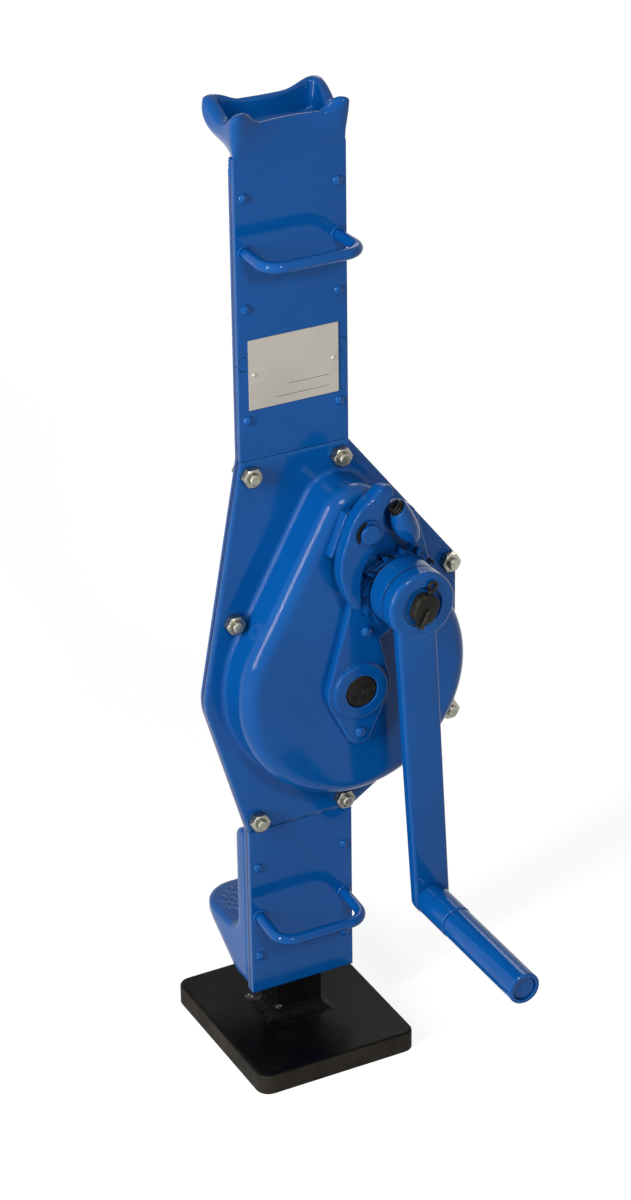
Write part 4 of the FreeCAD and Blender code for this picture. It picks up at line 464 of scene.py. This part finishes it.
def makeHead(form):
    # outlines over angle and height: a parabola through seat, belly and crown; the rim rises as a squared cosine
    # of the distance from each horn, and a half ellipse joins the outer wall to the inner one
    angle = fullTurn(form["around"])
    middle, edge, corner = form["middle"], form["edge"], form["corner"]
    seat, belly, crown, mouth, base = (cushion(angle, *form[name + "Outline"])
                                       for name in ("seat", "belly", "crown", "mouth", "base"))
    crown = crown + form["crownShift"]
    neckWide, neckFront, neckRear = form["neck"]
    neck = cushion(angle, neckWide, (neckRear - neckFront) / 2, 0, 0, 0, form["neckSquare"])
    neck = neck + (0, (neckFront + neckRear) / 2 - middle)
    spots = crown[(np.array([1, 3, 5, 7]) * form["around"]) // 8]  # the four corners
    away = np.linalg.norm(crown[:, None] - spots[None], axis=2)
    wide, tops = np.array(form["horns"]).T
    rearward = np.clip(np.sin(angle) * form["rearSpread"], 0, 1)
    low = form["frontLow"] + (form["rearLow"] - form["frontLow"]) * rearward
    rim = low + np.max((tops - low[:, None]) * np.cos(np.clip(away / wide, 0, 1) * np.pi / 2) ** 2, axis=1)
    z0, z1, z2 = form["seat"], form["belly"], form["horn"]

    def outer(z):
        z = z[:, None]
        return (seat * (z - z1) * (z - z2) / ((z0 - z1) * (z0 - z2))
                + belly * (z - z0) * (z - z2) / ((z1 - z0) * (z1 - z2))
                + crown * (z - z0) * (z - z1) / ((z2 - z0) * (z2 - z1)))

    def inner(z):
        share = np.clip((z - form["floor"]) / (form["horn"] - form["floor"]), 0, 1)[:, None]
        return base + (mouth - base) * share

    level = np.ones_like(angle)
    shoulder = rim - edge
    underside, lip, wallFoot = (z0 + step for step in form["skirt"])
    neckShare, neckRise = form["neckEdge"]
    rows = [(neck * neckShare, form["bottom"] * level), (neck, (form["bottom"] + neckRise) * level),
            (neck, underside * level), (seat * form["skirtShare"], underside * level), (seat, lip * level)]
    for share in np.linspace(0, 1, 18):
        z = wallFoot + (shoulder - wallFoot) * share
        rows.append((outer(z), z))
    centre = (outer(shoulder) + inner(shoulder)) / 2
    spread = (outer(shoulder) - inner(shoulder)) / 2
    for turn in np.linspace(0, np.pi, 14)[1:-1]:
        rows.append((centre + spread * np.cos(turn), shoulder + edge * np.sin(turn)))
    for share in np.linspace(0, 1, 10):
        z = shoulder + (form["floor"] + corner - shoulder) * share
        rows.append((inner(z), z))
    foot = inner((form["floor"] + corner) * level)
    inset = foot / np.linalg.norm(foot, axis=1)[:, None]
    for turn in quarterTurn(7)[1:]:
        plan = foot - inset * corner * (1 - np.cos(turn))
        rows.append((plan, (form["floor"] + corner * (1 - np.sin(turn))) * level))
    for share in (0.8, 0.5, 0.2):
        rows.append(((foot - inset * corner) * share, form["floor"] * level))
    points = np.stack([np.concatenate([plan + (0, middle), height[:, None]], 1) for plan, height in rows])
    return surface("crownHead", points, (0, middle, form["bottom"]), (0, middle, form["floor"]))


settle(makeHead(headForm), "housing", "blue_enamel", finishes["forgedEnamel"][0], "head")
print("head made")


# the skin of studs starts sunk in the toe and stands clear of it inside its fading border
toeStuds = {"middle": (0.0, 0.0475), "half": (0.036, 0.024), "square": 3.2, "top": 0.088, "pitch": 0.0096,
            "height": 0.0006, "steep": 1.3, "cut": 0.3, "flat": 0.9, "sunk": 0.0003, "skin": 0.0006, "under": 0.0012,
            "fade": 12, "around": 260, "rings": 64}


def makeToeStuds(form):
    # rings shrinking to the middle of the toe; height is a squared product of two cosines, so studs stand in rows
    outline = cushion(fullTurn(form["around"]), *form["half"], 0, 0, 0, form["square"])
    share = np.linspace(1, 0.01, form["rings"])[:, None, None]
    plan = outline[None] * share + form["middle"]
    along = (plan[..., 0] + plan[..., 1]) / form["pitch"]
    across = (plan[..., 0] - plan[..., 1]) / form["pitch"]
    stud = np.clip(np.cos(np.pi * along) * np.cos(np.pi * across), -1, 1) ** 2
    stud = np.clip(stud * form["steep"] - form["cut"], 0, form["flat"])
    fade = np.clip((1 - share[..., 0]) * form["fade"], 0, 1)
    rise = form["top"] - form["sunk"] + fade * (form["skin"] + form["height"] * stud)
    points = np.concatenate([plan, rise[..., None]], 2)
    under = form["top"] - form["under"]
    below = np.concatenate([plan[:1], np.full_like(plan[:1, :, :1], under)], 2)
    x, y = form["middle"]
    return surface("toeStuds", np.concatenate([below, points]), (x, y, under), (x, y, float(rise[-1].mean())))


settle(makeToeStuds(toeStuds), "housing", "blue_enamel", finishes["forgedEnamel"][0])
print("toe studs made")


cornerBead = {"at": (0.0407, -0.0092, 0.6895), "half": (0.0013, 0.0024, 0.0092), "blunt": 0.45,
              "waves": [(0.1, 17, 0), (0.06, 5, 1)], "around": 40, "rows": 60}


def makeCornerBead(name, form, side):
    # upright oval body whose girth ripples along its height
    turn = np.linspace(0, np.pi, form["rows"] + 2)[1:-1, None]
    around = fullTurn(form["around"])[None]
    girth = np.sin(turn) ** form["blunt"] * ripple(turn, form["waves"])
    (x, y, z), (wide, deep, tall) = form["at"], form["half"]
    points = np.stack([side * x + wide * girth * np.cos(around), y + deep * girth * np.sin(around),
                       z - tall * np.cos(turn) + 0 * around], -1)
    return surface(name, points, (side * x, y, z - tall), (side * x, y, z + tall))


for side, name in ((-1, "cornerBeadLeft"), (1, "cornerBeadRight")):
    settle(makeCornerBead(name, cornerBead, side), "housing", "blue_enamel", finishes["forgedEnamel"][0])
print("corner beads made")


# sections, from knob to nose: left edge and right edge in millimetres from the pivot, width share of the back,
# ridge's place as a share and height in millimetres, edge radius in millimetres
pawlForm = {"front": -0.0674, "lip": -0.0638, "rear": -0.0566, "rows": 110, "knob": 0.0066, "nose": 0.0012,
            "rearEdge": 0.0011, "ridgeEdge": 0.002, "blur": [1, 2, 3, 4, 3, 2, 1], "sections": [
    (6.9, 29.2, 18.5, 23.4, 0.97, 0.50, 0.0, 5.6), (3.0, 25.6, 16.9, 19.2, 0.97, 0.48, 0.5, 4.6),
    (-2.4, 22.3, 12.3, 13.5, 0.97, 0.40, 0.6, 2.6), (-7.0, 17.4, 11.5, 6.9, 0.97, 0.30, 0.2, 1.9),
    (-10.9, 11.6, 13.0, 0.4, 0.97, 0.40, 0.0, 1.7), (-14.0, 5.5, 11.4, -5.3, 0.97, 0.40, 0.0, 1.7),
    (-16.4, -1.5, 7.5, -10.4, 0.97, 0.40, 0.0, 1.7), (-18.7, -8.5, 2.9, -15.4, 0.97, 0.45, 0.0, 1.7),
    (-21.1, -15.6, -1.8, -21.9, 0.97, 0.45, 0.0, 1.7), (-22.0, -25.3, -5.0, -28.8, 0.97, 0.40, 0.4, 1.7),
    (-21.3, -33.9, -6.5, -38.6, 0.91, 0.33, 0.9, 1.7), (-19.0, -40.7, -6.3, -45.0, 0.59, 0.20, 0.9, 1.6),
    (-17.0, -46.4, -5.8, -49.2, 0.32, 0.16, 0.6, 1.5), (-16.3, -48.0, -5.4, -50.9, 0.97, 0.14, 0.4, 1.5),
    (-14.5, -51.3, -6.2, -53.6, 0.97, 0.20, 0.2, 1.5), (-12.6, -53.9, -8.2, -55.6, 0.97, 0.30, 0.0, 1.2)]}


def roundedLoop(corners, radius, steps, most=0.47):
    # closed loop through each row's corners, every corner replaced by a parabola between points radius away from
    # it, or the most that its side has room for
    before, after = np.roll(corners, 1, axis=1) - corners, np.roll(corners, -1, axis=1) - corners

    def shorten(side):
        length = np.linalg.norm(side, axis=2, keepdims=True)
        shortened = side / np.maximum(length, 1e-9) * np.minimum(radius[..., None], most * length)
        return shortened[:, :, None]

    s = np.linspace(0, 1, steps)[None, None, :, None]
    loop = corners[:, :, None] + (1 - s) ** 2 * shorten(before) + s ** 2 * shorten(after)
    return loop.reshape(len(corners), -1, 3)


def makePawl(form):
    # sections across the pawl run along its length, each a loop of seven corners; half ellipses close both ends
    table = np.array(form["sections"])
    middle = (table[:, 0:2] + table[:, 2:4]) / 2
    reach = np.concatenate([[0], np.cumsum(np.linalg.norm(np.diff(middle, axis=0), axis=1))])
    along = np.linspace(0, reach[-1], form["rows"])
    fine = np.stack([np.interp(along, reach, column) for column in table.T], 1)
    blur = np.array(form["blur"]) / sum(form["blur"])
    smooth = np.stack([np.convolve(np.pad(column, len(blur) // 2, mode="reflect", reflect_type="odd"), blur, "valid")
                       for column in fine.T], 1)
    softened = [0, 1, 2, 3, 5, 6, 7]  # all columns but the width share of the back, whose notch stays sharp
    fine[:, softened] = smooth[:, softened]
    left, right = fine[:, 0:2] / 1000, fine[:, 2:4] / 1000
    back, place, ridge, edge = fine[:, 4:5], fine[:, 5:6], fine[:, 6] / 1000, fine[:, 7] / 1000
    crest, notch = left + (right - left) * place, left + (right - left) * back
    front, lip, rear = form["front"], form["lip"], form["rear"]

    def point(plan, y):
        return np.stack([plan[:, 0] + pawlPivot[0], y * np.ones(len(plan)), plan[:, 1] + pawlPivot[1]], -1)

    corners = np.stack([point(left, front), point(crest, front - ridge), point(right, front), point(right, lip),
                        point(notch, lip), point(notch, rear), point(left, rear)], 1)
    small = np.minimum(edge, form["rearEdge"])
    radius = np.stack([edge, form["ridgeEdge"] + edge, edge, small, small, small, small], 1)
    loops = roundedLoop(corners, radius, 7)[:, ::-1]
    rows, poles = [loops], []
    for end, inward, swell in ((0, 1, form["knob"]), (-1, -2, form["nose"])):
        centre = loops[end].mean(axis=0)
        ahead = centre - loops[inward].mean(axis=0)
        ahead = ahead * (1, 0, 1) / np.linalg.norm(ahead * (1, 0, 1))
        turn = quarterTurn(9)[1:-1, None, None]
        cap = centre + (loops[end] - centre)[None] * np.cos(turn) + ahead * swell * np.sin(turn)
        rows = [cap[::-1]] + rows if end == 0 else rows + [cap]
        poles.append(centre + ahead * swell)
    return surface("forgedPawl", np.concatenate(rows), poles[0], poles[1])


settle(makePawl(pawlForm), "pawl", "blue_enamel", finishes["forgedEnamel"][0], "pawl")
print("pawl made")


# inside and below: how far the bead reaches into the stem and the foot
footBead = {"middle": (-0.0015, 0.0022), "half": (0.0187, 0.0127), "square": 16, "top": 0.016, "leg": 0.0088,
            "inside": -0.003, "below": -0.002, "waves": [(0.035, 52, 0), (0.05, 7, 0.6), (0.03, 17, 0)],
            "around": 480}


def makeFootBead(form):
    # hollow quarter circle between stem and foot, carried round the stem; its size ripples with the angle
    angle = fullTurn(form["around"])
    leg = form["leg"] * ripple(angle, form["waves"])
    inside, below = np.full_like(leg, form["inside"]), np.full_like(leg, form["below"])
    turn = quarterTurn(14)[:, None]
    out = np.concatenate([leg * (1 - np.sin(turn)), [inside, inside, leg]])
    rise = np.concatenate([leg * (1 - np.cos(turn)), [leg, below, below]])
    halfWidth, halfDepth = form["half"]
    plan = cushion(angle[None], halfWidth + out, halfDepth + out, 0, 0, 0, form["square"]) + form["middle"]
    return surface("footBead", np.concatenate([plan, (form["top"] + rise)[..., None]], 2))


settle(makeFootBead(footBead), "foot_and_rack", "black_paint", finishes["footPaint"][0], "foot_weld")
print("foot bead made")


# bead: ring radius, half width, half height; waves: share and count round the ring; lag: for each metre of x, height
handleForm = {"rod": 0.004, "halfWidth": 0.0347, "reach": 0.035, "bend": 0.013, "face": -0.0148, "root": -0.001,
              "sides": 28, "bead": (0.0046, 0.0011, 0.0011), "beadFace": -0.015, "waves": [(0.1, 12), (0.12, 3)],
              "lag": (900, 50), "beadAround": 84, "beadSides": 18}
handlePlaces = {"upper": (0.6324, 0.4, 1.2), "lower": (0.114, -5.0, 0.0)}  # height, rise in degrees, spread


def makeHandle(name, form, height, rise, spread):
    # circle carried along leg, bend, bar, bend and leg; the right leg spreads as it leaves the plate
    half, bend, straight = form["halfWidth"], form["bend"], form["reach"] - form["bend"]
    leg = np.linspace(form["root"], straight, 12)[:-1]
    turn = quarterTurn(20)
    x = np.concatenate([-half + 0 * leg, -half + bend - bend * np.cos(turn)])
    out = np.concatenate([leg, straight + bend * np.sin(turn)])
    x, out = np.concatenate([x, -x[::-1]]), np.concatenate([out, out[::-1]])
    x = np.where(x > 0, x * (1 + spread * out), x)
    run = np.stack([np.gradient(x), np.gradient(out)], 1)
    run /= np.linalg.norm(run, axis=1)[:, None]
    around = fullTurn(form["sides"])
    across, lift = form["rod"] * np.cos(around), form["rod"] * np.sin(around)
    sideX = x[:, None] + run[:, 1:2] * across
    sideOut = out[:, None] - run[:, 0:1] * across
    cos, sin = math.cos(math.radians(rise)), math.sin(math.radians(rise))
    far, high = sideOut * cos - lift * sin, sideOut * sin + lift * cos
    points = np.stack([sideX, form["face"] - far, height + high], -1)
    return surface(name, points, points[0].mean(axis=0), points[-1].mean(axis=0))


def makeHandleBead(name, form, x, height):
    # ring with an oval section round a leg, rippled along the ring
    around = fullTurn(form["beadAround"])[None]
    turn = fullTurn(form["beadSides"])[:, None]
    ring, wide, tall = form["bead"]
    lags = (x * form["lag"][0], height * form["lag"][1])
    swell = ripple(around, [(*wave, lag) for wave, lag in zip(form["waves"], lags)])
    radius = ring + wide * swell * np.cos(turn)
    depth = form["beadFace"] - tall * swell * np.sin(turn)
    points = np.stack([x + radius * np.cos(around), depth, height + radius * np.sin(around)], -1)
    return surface(name, points)


for name, (height, rise, spread) in handlePlaces.items():
    rod = makeHandle(name + "Rod", handleForm, height, rise, spread)
    settle(rod, "housing", "blue_enamel", finishes["barEnamel"][0], name + "_handle")
    for side, hand in ((-1, "Left"), (1, "Right")):
        bead = makeHandleBead(name + "Bead" + hand, handleForm, side * handleForm["halfWidth"], height)
        settle(bead, "housing", "blue_enamel", finishes["castEnamel"][0])
print("handles made")


# sections: distance along the shaft, half width, half height, squareness
shaftForm = {"axis": (0.055539, 0.383268), "lean": 24, "around": 96, "sections": [
    (-0.0068, 0.0066, 0.0066, 2), (-0.0071, 0.007, 0.007, 2), (-0.0359, 0.007, 0.007, 2),
    (-0.0361, 0.0108, 0.0108, 2), (-0.0905, 0.0108, 0.0108, 2), (-0.0907, 0.0104, 0.0104, 2),
    (-0.0909, 0.009, 0.0103, 3.2), (-0.1004, 0.009, 0.0103, 3.2), (-0.1011, 0.0086, 0.0099, 3.2),
    (-0.1014, 0.0079, 0.0092, 3), (-0.1014, 0.0018, 0.0018, 2), (-0.1002, 0.0012, 0.0012, 2)]}


def makeShaft(form):
    # superellipse sections along the axis, round inside and flattened at the end, with a small centre hole
    angle = fullTurn(form["around"])[None]
    y, wide, tall, square = np.array(form["sections"]).T[..., None]
    cos, sin = np.cos(angle), np.sin(angle)
    reach = squareReach(cos, sin, square)
    across, up = wide * reach * cos, tall * reach * sin
    lean = math.radians(form["lean"])
    x, z = form["axis"]
    points = np.stack([x + across * math.cos(lean) + up * math.sin(lean), y + 0 * across,
                       z - across * math.sin(lean) + up * math.cos(lean)], -1)
    return surface("crankShaft", points, (x, y[0, 0], z), (x, y[-1, 0], z))


settle(makeShaft(shaftForm), "crank", "black_oxide", finishes["blackOxide"][0], "crank_shaft")
print("shaft made")


# hub and grip: place and half width of the arm's ends
armForm = {"hub": (0.051239, 0.383268, 0.015), "grip": (0.06553, 0.14343, 0.0138), "back": -0.0843,
           "front": -0.0942, "edge": 0.0026, "around": 120}


def makeArm(form):
    # outline round two circles, the farther one in every direction, carried over the thickness with round edges
    angle = fullTurn(form["around"])
    away = np.stack([np.cos(angle), np.sin(angle)], 1)
    ends = np.array([form["hub"], form["grip"]])
    pick = np.argmax(away @ ends[:, :2].T + ends[:, 2], axis=1)
    turn = quarterTurn(8)
    inset = form["edge"] * np.concatenate([1 - np.sin(turn), 1 - np.cos(turn)])
    depth = np.concatenate([form["back"] - form["edge"] * (1 - np.cos(turn)),
                            form["front"] + form["edge"] * (1 - np.sin(turn))])
    plan = ends[pick, :2][None] + away[None] * (ends[pick, 2][None, :, None] - inset[:, None, None])
    points = np.stack([plan[..., 0], depth[:, None] + 0 * plan[..., 0], plan[..., 1]], -1)
    x, z = ends[:, :2].mean(axis=0)
    return surface("crankBar", points, (x, form["back"], z), (x, form["front"], z))


settle(makeArm(armForm), "crank", "blue_enamel", finishes["barEnamel"][0], "crank_arm")
print("arm made")


# stage: pale floor and white surroundings for rays that see them directly, a tall lamp and two small ones
# fade: squared distances between which the floor turns white
stageLook = {"ambient": 0.18, "floorHalf": 6.0, "floorGlow": 0.83, "floorTone": 0.3, "floorBounce": 0.6,
             "fade": (0.5, 7.0)}
lampAim = Vector((0, 0, 0.4))
lampLook = {
    "leftLamp": {"at": (-2.2, -0.75, 1.25), "power": 64, "size": (0.24, 1.7)},
    "frontLamp": {"at": (-0.35, -2.2, 1.95), "power": 25, "size": (0.42, 0.42)},
    "backLamp": {"at": (1.3, 1.7, 1.9), "power": 7, "size": (0.7, 0.7)},
}


def seenDirectly(f):  # 1 for camera, glossy and transmission rays
    seen = 0.0
    for name in ("Is Camera Ray", "Is Glossy Ray", "Is Transmission Ray"):
        ray = f.node("ShaderNodeLightPath", out=name)
        seen = f.node("ShaderNodeMath", {"operation": "MAXIMUM"}, {0: seen, 1: ray})
    return seen


class WorldFinish(Finish):
    def __init__(self, world):
        self.tree = world.node_tree
        self.tree.nodes.clear()


def buildStage(look):
    world = bpy.data.worlds.new("studio")
    world.use_nodes = True
    scene.world = world
    w = WorldFinish(world)
    level = seenDirectly(w) * (1 - look["ambient"]) + look["ambient"]
    glow = w.node("ShaderNodeBackground", {}, {"Color": grey(1), "Strength": level})
    w.node("ShaderNodeOutputWorld", {}, {"Surface": glow})
    half = look["floorHalf"]
    square = [(-half, -half, 0), (half, -half, 0), (half, half, 0), (-half, half, 0)]
    mesh = bpy.data.meshes.new("floor")
    mesh.from_pydata(square, [], [(0, 1, 2, 3)])
    floor = bpy.data.objects.new("floor", mesh)
    scene.collection.objects.link(floor)
    f = Finish("paleFloor")
    bounce = f.node("ShaderNodeBsdfDiffuse", {}, {"Color": grey(look["floorBounce"])})
    veil = f.node("ShaderNodeBsdfDiffuse", {}, {"Color": grey(look["floorTone"])})
    away = f.axis("X") * f.axis("X") + f.axis("Y") * f.axis("Y")
    tone = f.blend(f.step(away, *look["fade"]), grey(look["floorGlow"]), grey(1))
    white = f.node("ShaderNodeEmission", {}, {"Color": tone, "Strength": 1.0})
    both = f.node("ShaderNodeAddShader", {}, {0: veil, 1: white})
    out = f.node("ShaderNodeMixShader", {}, {0: seenDirectly(f), 1: bounce, 2: both})
    f.node("ShaderNodeOutputMaterial", {}, {"Surface": out})
    dress(floor, f.material)


def hangLamp(name, look):
    data = bpy.data.lights.new(name, "AREA")
    data.energy = look["power"]
    data.shape = "RECTANGLE"
    data.size, data.size_y = look["size"]
    lamp = bpy.data.objects.new(name, data)
    lamp.location = look["at"]
    aim = lampAim - Vector(look["at"])
    lamp.rotation_euler = aim.to_track_quat("-Z", "Y").to_euler()
    scene.collection.objects.link(lamp)


buildStage(stageLook)
for name, look in lampLook.items():
    hangLamp(name, look)
scene.view_settings.view_transform = "Standard"
print("stage lit")
